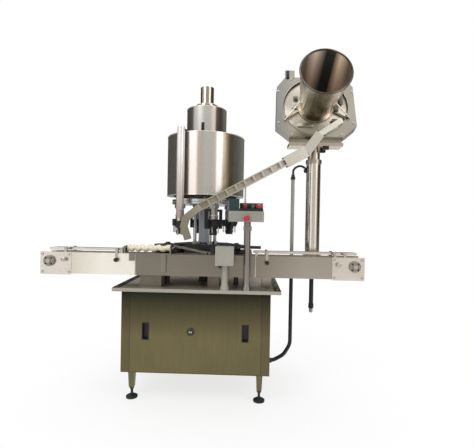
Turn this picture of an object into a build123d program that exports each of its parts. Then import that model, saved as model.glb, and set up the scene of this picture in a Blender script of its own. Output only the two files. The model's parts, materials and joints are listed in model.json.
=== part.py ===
"""Rotary bottle capping machine: cabinet, conveyor, four-head turret, cap sorter and console.

Machine axes while modelling: X along the conveyor (bottles travel to +X), Y away from the operator,
Z up, floor at zero, Y zero on the conveyor centre line. Every piece is moved by Y_SHIFT on export so
that the origin lies under the middle of the whole machine. All sizes are in millimetres.
"""
import math
import os

from build123d import *

os.makedirs("parts", exist_ok=True)

# Named sizes
Y_SHIFT = -151.18

CAB_X0, CAB_X1 = -469.0, 424.0
CAB_Y0, CAB_Y1 = -81.0, 541.0
CAB_Z0, CAB_Z1 = 173.0, 665.0
CAB_WALL = 3.0
CAB_STILE = 52.0
PANEL_GAP = 1.5
PANEL_T = 2.0
PANEL_RETURN = 24.0
PANEL_X0, PANEL_X1 = CAB_X0 + CAB_STILE + PANEL_GAP, CAB_X1 - CAB_STILE - PANEL_GAP
PANEL_Z0, PANEL_Z1 = CAB_Z0 + 4.0, CAB_Z1 - 4.0
PULL_X = (-322.0, 276.0)
PULL_Z, PULL_W, PULL_H, PULL_DEPTH, PULL_LIP = 423.0, 36.0, 98.0, 20.0, 3.0
LOCK_X, LOCK_Z, LOCK_R, LOCK_HOLE = -50.0, 426.0, 23.0, 15.0

TABLE_X0, TABLE_X1 = -517.0, 483.0
TABLE_Y0, TABLE_Y1 = -119.0, 579.0
TABLE_T = 20.0
TABLE_Z = CAB_Z1 + TABLE_T

LEG_X = (-414.0, 366.0)
LEG_Y = (-28.0, 488.0)
LEG_W, LEG_TIP_W, LEG_Z0 = 40.0, 30.0, 66.0
FOOT_R, FOOT_T, STEM_R = 35.0, 14.0, 8.0

CONV_L = 975.0
CONV_Y = 65.0
CONV_WALL = 3.0
CONV_Z0, CONV_Z1 = 756.0, 885.0
END_L, END_T, END_DROP = 190.0, 3.0, 6.0
CHAIN_HALF, CHAIN_T = 41.0, 4.0
CHAIN_R = 52.0
SPROCKET_X, SPROCKET_Z = CONV_L - 58.0, CONV_Z1 - CHAIN_R
BED_X = SPROCKET_X - 77.0
BED_PITCH, BED_SLOT = 260.0, 45.0
SPROCKET_R = CHAIN_R - CHAIN_T - 1.0
SHAFT_R = 12.0
SHAFT_FIT = 0.05
BEARING_R, BEARING_T = 33.0, 15.0
SLAT_PITCH = 38.1

RAIL_Y, RAIL_T, RAIL_H, RAIL_Z = 22.0, 4.0, 14.0, 898.0
RAIL_X = CONV_L - 35.0
CLAMP_X = (152.0 - CONV_L, -508.0, -480.0, 335.0, 398.0, CONV_L - 174.0, CONV_L - 115.0)
KNOB_X = (-508.0, 398.0)
KNOB_R, KNOB_T, KNOB_Z = 13.0, 16.0, 846.0

SCREW_X0, SCREW_X1 = -448.0, -188.0
SCREW_Y, SCREW_Z, SCREW_R = -29.0, 917.0, 22.5
SCREW_SHAFT_R = 8.0

TURRET_X, TURRET_Y = -10.0, 230.0
HEAD_PITCH_R = 175.0
HEAD_ANGLES = (24.0, 114.0, 204.0, 294.0)
POST_R = 25.0
MOTOR_Z0, MOTOR_Z1 = 470.0, 640.0
MOTOR_R, MOTOR_SIDE = 60.0, 30.0
TUBE_R = 38.0
TUBE_BORE = POST_R + 0.3
STAR_Z0, STAR_T, STAR_GAP = 893.0, 12.0, 20.0
STAR_R = HEAD_PITCH_R - 2.0
POCKET_R = 18.6
ROD_R, ROD_PITCH_R, ROD_ANGLE = 11.0, 75.0, -57.0
CARRIER_Z0, CARRIER_T = 1196.0, 30.0
CARRIER_R = 222.0
SLEEVE_R = 26.0
SLEEVE_BORE = SLEEVE_R + 0.05
HEAD_Z0 = 1096.0
HEAD_LIFT = 30.0
SPINDLE_R = 12.0
CHUCK_Z0 = 1000.0

SMALL_R = 87.5
SMALL_DX = math.sqrt((HEAD_PITCH_R + SMALL_R) ** 2 - (TURRET_Y - SMALL_R) ** 2)
SMALL_SHAFT_R = 15.0
DEAD_Z0, DEAD_T = 878.0, 7.0

DRUM_R, DRUM_Z0, DRUM_Z1, DRUM_T = 257.0, 1249.0, 1640.0, 2.5
DRUM2_R, DRUM2_Z1 = 133.0, DRUM_Z1 + 194.0
COLLAR_R, COLLAR_Z1 = 72.0, DRUM2_Z1 + 31.0
TOP_TUBE_R, TOP_Z = 45.0, COLLAR_Z1 + 123.0
SLOT_X, SLOT_Z0, SLOT_Z1, SLOT_W = TURRET_X - 10.0, DRUM_Z1 + 13.0, DRUM_Z1 + 79.0, 11.0

COLUMN_X, COLUMN_Y, COLUMN_R = 698.0, 130.0, 45.5
COLUMN_Z0, COLUMN_Z1, COLUMN_BORE = 742.0, 1493.0, 39.0
MAST_R, MAST_Z0, MAST_Z1 = COLUMN_BORE - 0.1, 1190.0, 1571.0
MAST_LIFT = 80.0
FLANGE_T = 20.0
GUIDE_R, GUIDE_Z0, GUIDE_Z1 = 14.0, 566.0, 1206.0

TILT = 17.0
PLATE_W, PLATE_H, PLATE_DEPTH, PLATE_T = 500.0, 430.0, 70.0, 3.0
SORT_RISE = 29.395
SORT_X, SORT_Y = 694.0, 80.0
SORT_Z = MAST_Z1 + FLANGE_T + SORT_RISE + PLATE_H / 2 * math.cos(math.radians(TILT))
DISC_R, DISC_T = 188.0, 6.0
HOPPER_R0, HOPPER_R1, HOPPER_L, HOPPER_T = 98.0, 144.0, 325.0, 2.5

CHUTE_A = (645.0, 31.0, SORT_Z - 290.0)
CHUTE_B = (-2.0, -105.0, 1171.0)
CHUTE_W, CHUTE_D = 46.0, 22.0

POST_X, CON_Y, CON_POST_R = 279.0, -92.0, 19.0
CON_X0, CON_X1, CON_Z0, CON_Z1 = 168.0, 372.0, 1088.0, 1150.0
CON_Y0, CON_Y1 = -150.0, -48.0
BUTTON_GAP, TRAVEL = 0.3, 5.0
TOP_Y = -99.0
FRONT_X, FRONT_Z = 273.0, 1108.0
# name, x, radius, stem radius, height, rounding
TOP_BUTTONS = (
    ("run_button_red", 262.0, 21.0, 9.0, 20.0, 3.0),
    ("run_button_green", 308.0, 14.0, 9.0, 18.0, 3.0),
    ("mushroom_button", 346.0, 21.5, 9.0, 22.0, 6.0),
)
STAY_X, STAY_Y, STAY_R, STAY_Z0, STAY_Z1 = 262.0, -31.0, 5.0, 955.0, 1322.0

JBOX_X0, JBOX_X1, JBOX_Z0, JBOX_Z1 = 95.0, 202.0, 832.0, 944.0
JBOX_Y0, JBOX_Y1 = -150.0, -84.0

CONDUIT_X, CONDUIT_Y, CONDUIT_R = 567.0, 130.0, 11.5
HOSE_R = 7.0
LOW_HOSE_R, HOSE_END_Z = 12.0, 190.0


# Helpers
def span(x0, x1, y0, y1, z0, z1):
    """A box between two corners."""
    return Pos((x0 + x1) / 2, (y0 + y1) / 2, (z0 + z1) / 2) * Box(abs(x1 - x0), abs(y1 - y0), abs(z1 - z0))


def rod_z(x, y, z0, z1, r):
    """An upright round bar."""
    return Pos(x, y, (z0 + z1) / 2) * Cylinder(r, z1 - z0)


def rod_x(y, z, x0, x1, r):
    """A round bar along X."""
    return Pos((x0 + x1) / 2, y, z) * Rot(0, 90, 0) * Cylinder(r, x1 - x0)


def rod_y(x, z, y0, y1, r):
    """A round bar along Y."""
    return Pos(x, (y0 + y1) / 2, z) * Rot(90, 0, 0) * Cylinder(r, y1 - y0)


def ring_z(x, y, z0, z1, r, bore):
    """An upright ring."""
    return rod_z(x, y, z0, z1, r) - rod_z(x, y, z0 - 1, z1 + 1, bore)


def turned(points):
    """A solid turned about Z from (radius, height) points."""
    face = make_face(Plane.XZ * Polyline(*[(r, z) for r, z in points], close=True))
    return revolve(face, Axis.Z)


def around(angle, radius):
    """Turret position: angle is measured from the operator side towards +X."""
    a = math.radians(angle)
    return TURRET_X + radius * math.sin(a), TURRET_Y - radius * math.cos(a)


def save(name, shape, *more):
    """Move a node to the shared frame and write it."""
    solids = list(shape.solids())
    for extra in more:
        solids += list(extra.solids())
    body = Compound(children=[s.moved(Location((0, Y_SHIFT, 0))) for s in solids])
    body.label = name
    export_step(body, f"parts/{name}.step")
    print(name, len(solids), "solid(s)")


# Cabinet, table and feet
def cabinet():
    """Sheet-metal cabinet with an open front between two stiles."""
    outer = span(CAB_X0, CAB_X1, CAB_Y0, CAB_Y1, CAB_Z0, CAB_Z1)
    w = CAB_WALL
    inner = span(CAB_X0 + w, CAB_X1 - w, CAB_Y0 + w, CAB_Y1 - w, CAB_Z0 + w, CAB_Z1 - w)
    mouth = span(CAB_X0 + CAB_STILE, CAB_X1 - CAB_STILE, CAB_Y0 - 1, CAB_Y0 + w + 1, CAB_Z0 + 2.5, CAB_Z1 - 2.5)
    shell = outer - inner - mouth
    # stop flanges that the lift-off panel rests against
    for x0, x1 in ((CAB_X0 + w, CAB_X0 + CAB_STILE + 20), (CAB_X1 - CAB_STILE - 20, CAB_X1 - w)):
        shell += span(x0, x1, CAB_Y0 + PANEL_RETURN, CAB_Y0 + PANEL_RETURN + w, CAB_Z0 + w - 0.5, CAB_Z1 - w + 0.5)
    shell -= rod_z(TURRET_X, TURRET_Y, CAB_Z1 - 10, CAB_Z1 + 10, TUBE_R + 8)
    shell -= rod_x(CONDUIT_Y, HOSE_END_Z, CAB_X1 - 10, CAB_X1 + 10, LOW_HOSE_R + 0.6)
    save("cabinet_shell", shell)


def front_panel():
    """Lift-off front panel with returned edges, two pull pockets and a lock hole."""
    y0 = CAB_Y0
    pan = span(PANEL_X0, PANEL_X1, y0, y0 + PANEL_RETURN - 0.5, PANEL_Z0, PANEL_Z1)
    pan -= span(PANEL_X0 + PANEL_T, PANEL_X1 - PANEL_T, y0 + PANEL_T, y0 + PANEL_RETURN,
                PANEL_Z0 + PANEL_T, PANEL_Z1 - PANEL_T)
    for x in PULL_X:
        pan -= span(x - PULL_W / 2, x + PULL_W / 2, y0 - 1, y0 + PANEL_T + 1,
                    PULL_Z - PULL_H / 2, PULL_Z + PULL_H / 2)
    pan -= rod_y(LOCK_X, LOCK_Z, y0 - 1, y0 + PANEL_T + 1, LOCK_HOLE)
    save("front_panel", pan)
    pulls = []
    for x in PULL_X:
        lip = span(x - PULL_W / 2 - PULL_LIP, x + PULL_W / 2 + PULL_LIP, y0 - PULL_LIP, y0,
                   PULL_Z - PULL_H / 2 - PULL_LIP, PULL_Z + PULL_H / 2 + PULL_LIP)
        cup = span(x - PULL_W / 2, x + PULL_W / 2, y0 - 1, y0 + PULL_DEPTH, PULL_Z - PULL_H / 2, PULL_Z + PULL_H / 2)
        hollow = span(x - PULL_W / 2 + 2.5, x + PULL_W / 2 - 2.5, y0 - PULL_LIP - 1, y0 + PULL_DEPTH - 2.5,
                      PULL_Z - PULL_H / 2 + 2.5, PULL_Z + PULL_H / 2 - 2.5)
        pulls.append(lip + cup - hollow)
    save("panel_pulls", *pulls)
    lock = rod_y(LOCK_X, LOCK_Z, y0 - 5, y0, LOCK_R) + rod_y(LOCK_X, LOCK_Z, y0 - 9, y0 - 4, 11)
    lock -= span(LOCK_X - 2, LOCK_X + 2, y0 - 10, y0 - 6, LOCK_Z - 8, LOCK_Z + 8)
    lock += rod_y(LOCK_X, LOCK_Z, y0 - 1, y0 + 12, LOCK_HOLE - 0.2)
    lock += span(LOCK_X - 8, LOCK_X + 8, y0 + 12, y0 + 16, LOCK_Z - 11, LOCK_Z + 60)
    save("panel_lock", lock)


def table_and_feet():
    """Table top, legs and feet."""
    top = span(TABLE_X0, TABLE_X1, TABLE_Y0, TABLE_Y1, CAB_Z1, TABLE_Z)
    top = fillet(top.edges().filter_by(Axis.Z), 6)
    top -= rod_z(TURRET_X, TURRET_Y, CAB_Z1 - 5, TABLE_Z + 5, TUBE_R + 4)
    for sx in (-1, 1):
        top -= rod_z(TURRET_X + sx * SMALL_DX, SMALL_R, TABLE_Z - 8, TABLE_Z + 5, SMALL_SHAFT_R + 0.05)
    save("tabletop", top)
    legs, feet = [], []
    for x in LEG_X:
        for y in LEG_Y:
            upper = Plane.XY.offset(CAB_Z0) * Pos(x, y) * Rectangle(LEG_W, LEG_W)
            lower = Plane.XY.offset(LEG_Z0) * Pos(x, y) * Rectangle(LEG_TIP_W, LEG_TIP_W)
            legs.append(loft([lower, upper]) - rod_z(x, y, LEG_Z0 - 1, LEG_Z0 + 62, STEM_R + 0.05))
            pad = Pos(x, y, 0) * turned([(0, 0), (FOOT_R, 0), (FOOT_R, FOOT_T - 5), (FOOT_R - 8, FOOT_T),
                                         (14, FOOT_T + 6), (STEM_R, FOOT_T + 8), (STEM_R, LEG_Z0 + 60), (0, LEG_Z0 + 60)])
            nut = Pos(x, y, LEG_Z0 - 12) * extrude(RegularPolygon(14, 6), 11.5)
            feet.append(pad + (nut - rod_z(x, y, 0, 200, STEM_R - 0.5)))
    save("leg_tubes", *legs)
    save("levelling_feet", *feet)


# Conveyor
def conveyor():
    """Side plates, bed, end plates, slat chain, sprocket shafts, bearings and pedestals."""
    sides = []
    for s in (-1, 1):
        y0, y1 = sorted((s * CONV_Y, s * (CONV_Y - CONV_WALL)))
        side = span(-CONV_L, CONV_L, y0, y1, CONV_Z0, CONV_Z1)
        f0, f1 = sorted((s * CONV_Y, s * (CONV_Y - 18)))
        side += span(-CONV_L, CONV_L, f0, f1, CONV_Z0, CONV_Z0 + CONV_WALL)
        side += span(-CONV_L, CONV_L, f0, f1, CONV_Z1 - CONV_WALL, CONV_Z1)
        for x in (-SPROCKET_X, SPROCKET_X):
            side -= rod_y(x, SPROCKET_Z, -90, 90, SHAFT_R + 2)
        sides.append(side)
    save("conveyor_sides", *sides)
    inner = CONV_Y - CONV_WALL
    bed = span(-BED_X, BED_X, -inner, inner, CONV_Z1 - CHAIN_T - 6, CONV_Z1 - CHAIN_T)
    bed -= span(-BED_X - 5, BED_X + 5, -inner - 1, -inner + 16, CONV_Z1 - CHAIN_T - 7, CONV_Z1)
    bed -= span(-BED_X - 5, BED_X + 5, inner - 16, inner + 1, CONV_Z1 - CHAIN_T - 7, CONV_Z1)
    count = int(BED_X / BED_PITCH)
    for x in [i * BED_PITCH for i in range(-count, count + 1)]:
        bed += span(x - 20, x + 20, -inner, inner, CONV_Z1 - CHAIN_T - 30, CONV_Z1 - CHAIN_T - 6)
    low_z = SPROCKET_Z - CHAIN_R
    under = span(-BED_X, BED_X, -inner, inner, low_z - 4, low_z)
    count = int((BED_X - BED_SLOT - 5) / (BED_PITCH / 2))
    for x in [i * BED_PITCH / 2 for i in range(-count, count + 1)]:
        under -= span(x - BED_SLOT, x + BED_SLOT, -inner + 20, inner - 20, low_z - 5, low_z + 1)
    save("conveyor_bed", bed, under)
    plates = []
    for sx in (-1, 1):
        for sy in (-1, 1):
            x0, x1 = sorted((sx * CONV_L, sx * (CONV_L - END_L)))
            y0, y1 = sorted((sy * CONV_Y, sy * (CONV_Y + END_T)))
            plate = span(x0, x1, y0, y1, CONV_Z0 - END_DROP, CONV_Z1 + 2)
            plates.append(plate - rod_y(sx * SPROCKET_X, SPROCKET_Z, -90, 90, SHAFT_R + 2))
    save("end_plates", *plates)
    track = Pos(0, 0, SPROCKET_Z) * Rot(90, 0, 0) * extrude(
        SlotCenterToCenter(2 * SPROCKET_X, 2 * CHAIN_R) - SlotCenterToCenter(2 * SPROCKET_X, 2 * (CHAIN_R - CHAIN_T)),
        CHAIN_HALF, both=True)
    slats = int(2 * (SPROCKET_X - 20) / SLAT_PITCH)
    grooves = [span(x - 0.8, x + 0.8, -60, 60, CONV_Z1 - 1.6, CONV_Z1 + 1)
               for x in [(i - slats / 2) * SLAT_PITCH for i in range(slats + 1)]]
    save("slat_chain", track - grooves)
    for name, x in (("tail_sprocket", -SPROCKET_X), ("drive_sprocket", SPROCKET_X)):
        shaft = rod_y(x, SPROCKET_Z, -CONV_Y - END_T - BEARING_T - 7, CONV_Y + END_T + BEARING_T + 7, SHAFT_R)
        for y in (-22, 22):
            wheel = rod_y(x, SPROCKET_Z, y - 6, y + 6, SPROCKET_R)
            for k in range(8):
                a = math.radians(45 * k + 22.5)
                wheel -= rod_y(x + 46 * math.cos(a), SPROCKET_Z + 46 * math.sin(a), y - 8, y + 8, 7)
            shaft += wheel
        shaft += rod_y(x, SPROCKET_Z, -30, 30, 20)
        save(name, shaft)
    rings = []
    for sx in (-1, 1):
        for sy in (-1, 1):
            y0, y1 = sorted((sy * (CONV_Y + END_T), sy * (CONV_Y + END_T + BEARING_T)))
            ring = rod_y(sx * SPROCKET_X, SPROCKET_Z, y0, y1, BEARING_R)
            ring = chamfer(ring.edges().filter_by(GeomType.CIRCLE), 2.5)
            rings.append(ring - rod_y(sx * SPROCKET_X, SPROCKET_Z, -99, 99, SHAFT_R + SHAFT_FIT))
    save("flange_bearings", *rings)
    left = span(-367, -237, -58, 58, TABLE_Z, CONV_Z0)
    left -= span(-361, -243, -52, 52, TABLE_Z + 6, CONV_Z0 - 6)
    right = span(40, 110, -20, 58, TABLE_Z, CONV_Z0)
    save("conveyor_pedestals", left, right)


def guide_rails():
    """Bottle guide rails with their clamps and two clamp knobs."""
    z0, z1 = RAIL_Z, RAIL_Z + RAIL_H
    front = span(-RAIL_X, SCREW_X0 - 22, -RAIL_Y - RAIL_T, -RAIL_Y, z0, z1)
    front2 = span(330, RAIL_X, -RAIL_Y - RAIL_T, -RAIL_Y, z0, z1)
    rear = span(-RAIL_X, -335, RAIL_Y, RAIL_Y + RAIL_T, z0, z1)
    rear2 = span(315, RAIL_X, RAIL_Y, RAIL_Y + RAIL_T, z0, z1)
    save("guide_rails", front, front2, rear, rear2)
    clamps = []
    for x in CLAMP_X:
        post = span(x - 8, x + 8, -CONV_Y, -CONV_Y + 14, CONV_Z1, z1 + 3)
        post += rod_y(x, z0 + 7, -CONV_Y + 10, -RAIL_Y - RAIL_T, 4)
        if x in KNOB_X:
            post += span(x - 8, x + 8, -CONV_Y - 5, -CONV_Y, KNOB_Z - 14, z1 + 3)
            post -= rod_y(x, KNOB_Z, -CONV_Y - 6, -CONV_Y + 1, 4.3)
        clamps.append(post)
    for x in (CLAMP_X[0], CLAMP_X[1], CLAMP_X[4], CLAMP_X[5]):
        post = span(x - 8, x + 8, CONV_Y - 14, CONV_Y, CONV_Z1, z1 + 3)
        clamps.append(post + rod_y(x, z0 + 7, RAIL_Y + RAIL_T, CONV_Y - 10, 4))
    save("rail_clamps", *clamps)
    for name, x in zip(("clamp_knob_left", "clamp_knob_right"), KNOB_X):
        y0 = -CONV_Y - 5
        knob = rod_y(x, KNOB_Z, y0 - KNOB_T, y0 - 0.3, KNOB_R)
        for k in range(6):
            a = math.radians(60 * k)
            knob -= rod_y(x + 15.5 * math.cos(a), KNOB_Z + 15.5 * math.sin(a), y0 - 40, y0 + 5, 5)
        knob += rod_y(x, KNOB_Z, y0 - 1, y0 + 5, 4.2)
        save(name, knob)


def infeed_screw():
    """Timing screw on its carriage."""
    screw = rod_x(SCREW_Y, SCREW_Z, SCREW_X0, SCREW_X1, SCREW_R)
    for x in (-420, -385, -345, -300, -252):
        screw -= Pos(x, SCREW_Y, SCREW_Z) * Rot(0, 90, 0) * Torus(33, 17.5)
    screw += rod_x(SCREW_Y, SCREW_Z, SCREW_X0 - 18, SCREW_X1 + 16, SCREW_SHAFT_R)
    save("timing_screw", screw)
    tray_z = CONV_Z1 + 1
    carriage = span(SCREW_X0 - 14, SCREW_X1 + 12, -76, -48, tray_z, tray_z + 4)
    for x in (SCREW_X0 - 14, SCREW_X1 + 4):
        carriage += span(x, x + 8, -76, SCREW_Y + 14, tray_z, SCREW_Z + 14)
    carriage += span(-430, -400, -76, -CONV_Y, 842, tray_z + 2)
    carriage += span(-237, -207, -76, -CONV_Y, 779, tray_z + 2)
    carriage -= rod_x(SCREW_Y, SCREW_Z, SCREW_X0 - 30, SCREW_X1 + 30, SCREW_SHAFT_R + SHAFT_FIT)
    carriage -= rod_x(SCREW_Y, SCREW_Z, SCREW_X0 - 1, SCREW_X1 + 1, SCREW_R + 1)
    save("screw_carriage", carriage)


# Stars and turret
def star_plates(x, y, radius, pitch_radius, pockets, phase, bore):
    """Two star plates with round pockets on the pitch circle."""
    plates = []
    for z0 in (STAR_Z0, STAR_Z0 + STAR_T + STAR_GAP):
        plate = ring_z(x, y, z0, z0 + STAR_T, radius, bore)
        for k in range(pockets):
            a = math.radians(phase + 360 * k / pockets)
            px, py = x + pitch_radius * math.sin(a), y - pitch_radius * math.cos(a)
            ox, oy = x + (pitch_radius + 26) * math.sin(a), y - (pitch_radius + 26) * math.cos(a)
            plate -= rod_z(px, py, z0 - 1, z0 + STAR_T + 1, POCKET_R)
            plate -= rod_z(ox, oy, z0 - 1, z0 + STAR_T + 1, POCKET_R + 10)
        plates.append(plate)
    return plates


def turret():
    """Fixed centre post, rotating tube with star, tie rods and head carrier."""
    x, y = TURRET_X, TURRET_Y
    post = rod_z(x, y, MOTOR_Z0 + 20, DRUM_Z1 + 40, POST_R)
    save("centre_post", post)
    tube = ring_z(x, y, MOTOR_Z1 + 1, CARRIER_Z0 + CARRIER_T, TUBE_R, TUBE_BORE)
    tube += ring_z(x, y, STAR_Z0 - 8, STAR_Z0, 95, TUBE_R - 1)
    low, high = star_plates(x, y, STAR_R, HEAD_PITCH_R, 4, HEAD_ANGLES[0], TUBE_R - 1)
    low -= [rod_z(*around(HEAD_ANGLES[0] + 45 + 90 * k, 120), 880, 950, 26) for k in range(4)]
    high -= [rod_z(*around(HEAD_ANGLES[0] + 45 + 90 * k, 120), 880, 950, 26) for k in range(4)]
    hub = ring_z(x, y, STAR_Z0 + STAR_T - 0.5, STAR_Z0 + STAR_T + STAR_GAP + 0.5, 60, TUBE_R - 1)
    star_top = STAR_Z0 + 2 * STAR_T + STAR_GAP
    spokes = [rod_z(*around(ROD_ANGLE + 90 * k, ROD_PITCH_R), STAR_Z0 + 4, star_top + 30, ROD_R + 0.01) for k in range(4)]
    star = low + high + hub + tube
    star -= spokes
    save("main_star", star)
    carrier = ring_z(x, y, CARRIER_Z0, CARRIER_Z0 + CARRIER_T, CARRIER_R, TUBE_R)
    for k in range(4):
        carrier += rod_z(*around(ROD_ANGLE + 90 * k, ROD_PITCH_R), STAR_Z0 + 4, CARRIER_Z0 + 1, ROD_R)
        carrier += rod_z(*around(HEAD_ANGLES[k], HEAD_PITCH_R), CARRIER_Z0 - 26, CARRIER_Z0 + 1, SLEEVE_R + 9)
        carrier -= rod_z(*around(HEAD_ANGLES[k], HEAD_PITCH_R), CARRIER_Z0 - 40, CARRIER_Z0 + 60, SLEEVE_BORE)
    save("head_carrier", carrier)


def heads():
    """Four capping heads: a sliding sleeve with a black yoke, and a spinning chuck."""
    for k, angle in enumerate(HEAD_ANGLES, 1):
        x, y = around(angle, HEAD_PITCH_R)
        sleeve = ring_z(x, y, HEAD_Z0 + 24, CARRIER_Z0 + CARRIER_T + 18, SLEEVE_R, SPINDLE_R + SHAFT_FIT)
        sleeve += ring_z(x, y, HEAD_Z0, HEAD_Z0 + 25, SLEEVE_R + 3, SPINDLE_R + SHAFT_FIT)
        save(f"head_{k}", sleeve)
        top = HEAD_Z0 - 0.4
        chuck = Pos(x, y, 0) * turned([
            (0, CHUCK_Z0 + 26), (12, CHUCK_Z0 + 26), (15, CHUCK_Z0), (24, CHUCK_Z0), (25, CHUCK_Z0 + 20),
            (22, CHUCK_Z0 + 30), (22, CHUCK_Z0 + 40), (29, CHUCK_Z0 + 44), (29, top - 8), (25, top),
            (SPINDLE_R, top), (SPINDLE_R, HEAD_Z0 + 110), (0, HEAD_Z0 + 110)])
        save(f"chuck_{k}", chuck)


def transfer_stars():
    """Infeed and outfeed stars, dead plate and curved outer guides."""
    for name, sx, phase in (("infeed_star", -1, 40.0), ("outfeed_star", 1, 0.0)):
        x, y = TURRET_X + sx * SMALL_DX, SMALL_R
        plates = star_plates(x, y, SMALL_R - 2, SMALL_R, 2, phase, SMALL_SHAFT_R - 1)
        star = plates[0] + plates[1] + rod_z(x, y, TABLE_Z - 7.5, STAR_Z0 + 2 * STAR_T + STAR_GAP + 14, SMALL_SHAFT_R)
        star += rod_z(x, y, STAR_Z0 - 6, STAR_Z0 + 2 * STAR_T + STAR_GAP + 6, 26)
        save(name, star)
    deck = span(-330, 310, CONV_Y, 440, DEAD_Z0, DEAD_Z0 + DEAD_T)
    deck -= rod_z(TURRET_X, TURRET_Y, 870, 890, TUBE_R + 70)
    for sx in (-1, 1):
        deck -= rod_z(TURRET_X + sx * SMALL_DX, SMALL_R, 870, 890, SMALL_SHAFT_R + 14)
    legs = [rod_z(x, y, TABLE_Z, DEAD_Z0, 14) for x in (-300, 280) for y in (90, 410)]
    gate = DEAD_Z0 + DEAD_T
    rail_z0, rail_z1 = STAR_Z0 + 2, STAR_Z0 + 2 * STAR_T + STAR_GAP - 2
    outer = HEAD_PITCH_R + 21
    rim = ring_z(TURRET_X, TURRET_Y, rail_z0, rail_z1, outer + 6, outer)
    rim -= span(-400, 400, -100, 190, 800, 1000)
    posts = [rod_z(*around(a, outer + 14), gate, rail_z1, 10) - rim for a in (100, 140, 180, 220, 260)]
    wing = span(60, 362, -32, -26, rail_z1 - 10, rail_z1 + 8) + span(60, 80, -64, -26, rail_z1 - 10, rail_z1 - 4)
    wing += span(60, 80, -64, -50, CONV_Z1, rail_z1 - 4)
    nose = span(-150, 130, CONV_Y - 14, CONV_Y, CONV_Z1, rail_z1) - rod_z(TURRET_X, TURRET_Y, 800, 1000, STAR_R + 6)
    nose -= [rod_z(TURRET_X + sx * SMALL_DX, SMALL_R, 800, 1000, SMALL_R + 30) for sx in (-1, 1)]
    save("guide_deck", deck, rim, nose, wing, *legs, *posts)


def drum():
    """Fixed cam drum, upper drum and top tube, all carried by the centre post."""
    x, y = TURRET_X, TURRET_Y
    shell = rod_z(x, y, DRUM_Z0, DRUM_Z1, DRUM_R) - rod_z(x, y, DRUM_Z0 - 1, DRUM_Z1 - DRUM_T, DRUM_R - DRUM_T)
    shell += ring_z(x, y, DRUM_Z0, DRUM_Z0 + 3, DRUM_R - 1, HEAD_PITCH_R + 40)
    shell += ring_z(x, y, DRUM_Z1 - 60, DRUM_Z1 - DRUM_T + 0.5, 70, POST_R)
    for k in range(4):
        shell += Pos(x, y, 0) * Rot(0, 0, 45 + 90 * k) * span(60, DRUM_R - 1, -3, 3, DRUM_Z1 - 60, DRUM_Z1 - DRUM_T + 0.5)
    shell -= rod_z(x, y, DRUM_Z0, DRUM_Z1 + 5, POST_R)
    save("drum_cover", shell)
    upper = rod_z(x, y, DRUM_Z1, DRUM2_Z1, DRUM2_R) - rod_z(x, y, DRUM_Z1 - 1, DRUM2_Z1 - DRUM_T, DRUM2_R - DRUM_T)
    upper -= span(SLOT_X - SLOT_W / 2, SLOT_X + SLOT_W / 2, y - DRUM2_R - 9, y - DRUM2_R + 20, SLOT_Z0, SLOT_Z1)
    save("upper_cover", upper)
    tube = ring_z(x, y, DRUM2_Z1, COLLAR_Z1, COLLAR_R, TOP_TUBE_R - DRUM_T)
    tube += ring_z(x, y, DRUM2_Z1, TOP_Z, TOP_TUBE_R, TOP_TUBE_R - DRUM_T)
    tube += rod_z(x, y, TOP_Z - DRUM_T, TOP_Z, TOP_TUBE_R)
    save("top_tube", tube)


# Drive
def gearmotor():
    """Worm gear motor under the table that drives the turret tube."""
    x, y = TURRET_X, TURRET_Y
    box = span(x - 95, x + 95, y - 80, y + 80, MOTOR_Z0, MOTOR_Z1) - rod_z(x, y, MOTOR_Z0 + 19, MOTOR_Z1 + 1, POST_R)
    box += rod_y(x - MOTOR_SIDE, MOTOR_Z0 + 70, y + 79, y + 115, MOTOR_R - 9)
    box += rod_y(x - MOTOR_SIDE, MOTOR_Z0 + 70, y + 114, y + 275, MOTOR_R)
    for sx in (-1, 1):
        for sy in (-1, 1):
            box += span(x + sx * 88 - 7, x + sx * 88 + 7, y + sy * 72 - 8, y + sy * 72 + 8, MOTOR_Z1 - 1, CAB_Z1 - CAB_WALL)
    save("gearmotor", box)


# Sorter, column and chute
def sorter_frame():
    """Local plane of the tilted sorter: local +Z points out of the plate to the operator and up."""
    t = math.radians(TILT)
    return Plane(origin=(SORT_X, SORT_Y, SORT_Z), x_dir=(1, 0, 0), z_dir=(0, -math.cos(t), math.sin(t)))


def octagon(grow=0.0):
    """Outline of the sorter plate in its own plane, chamfers larger at the bottom."""
    w, h = PLATE_W / 2 + grow, PLATE_H / 2 + grow
    return make_face(Polyline(
        (-w, -h + 75), (-w + 84, -h), (w - 84, -h), (w, -h + 75), (w - 8, h - 72), (w - 62, h),
        (-w + 62, h), (-w + 8, h - 72), close=True))


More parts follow.
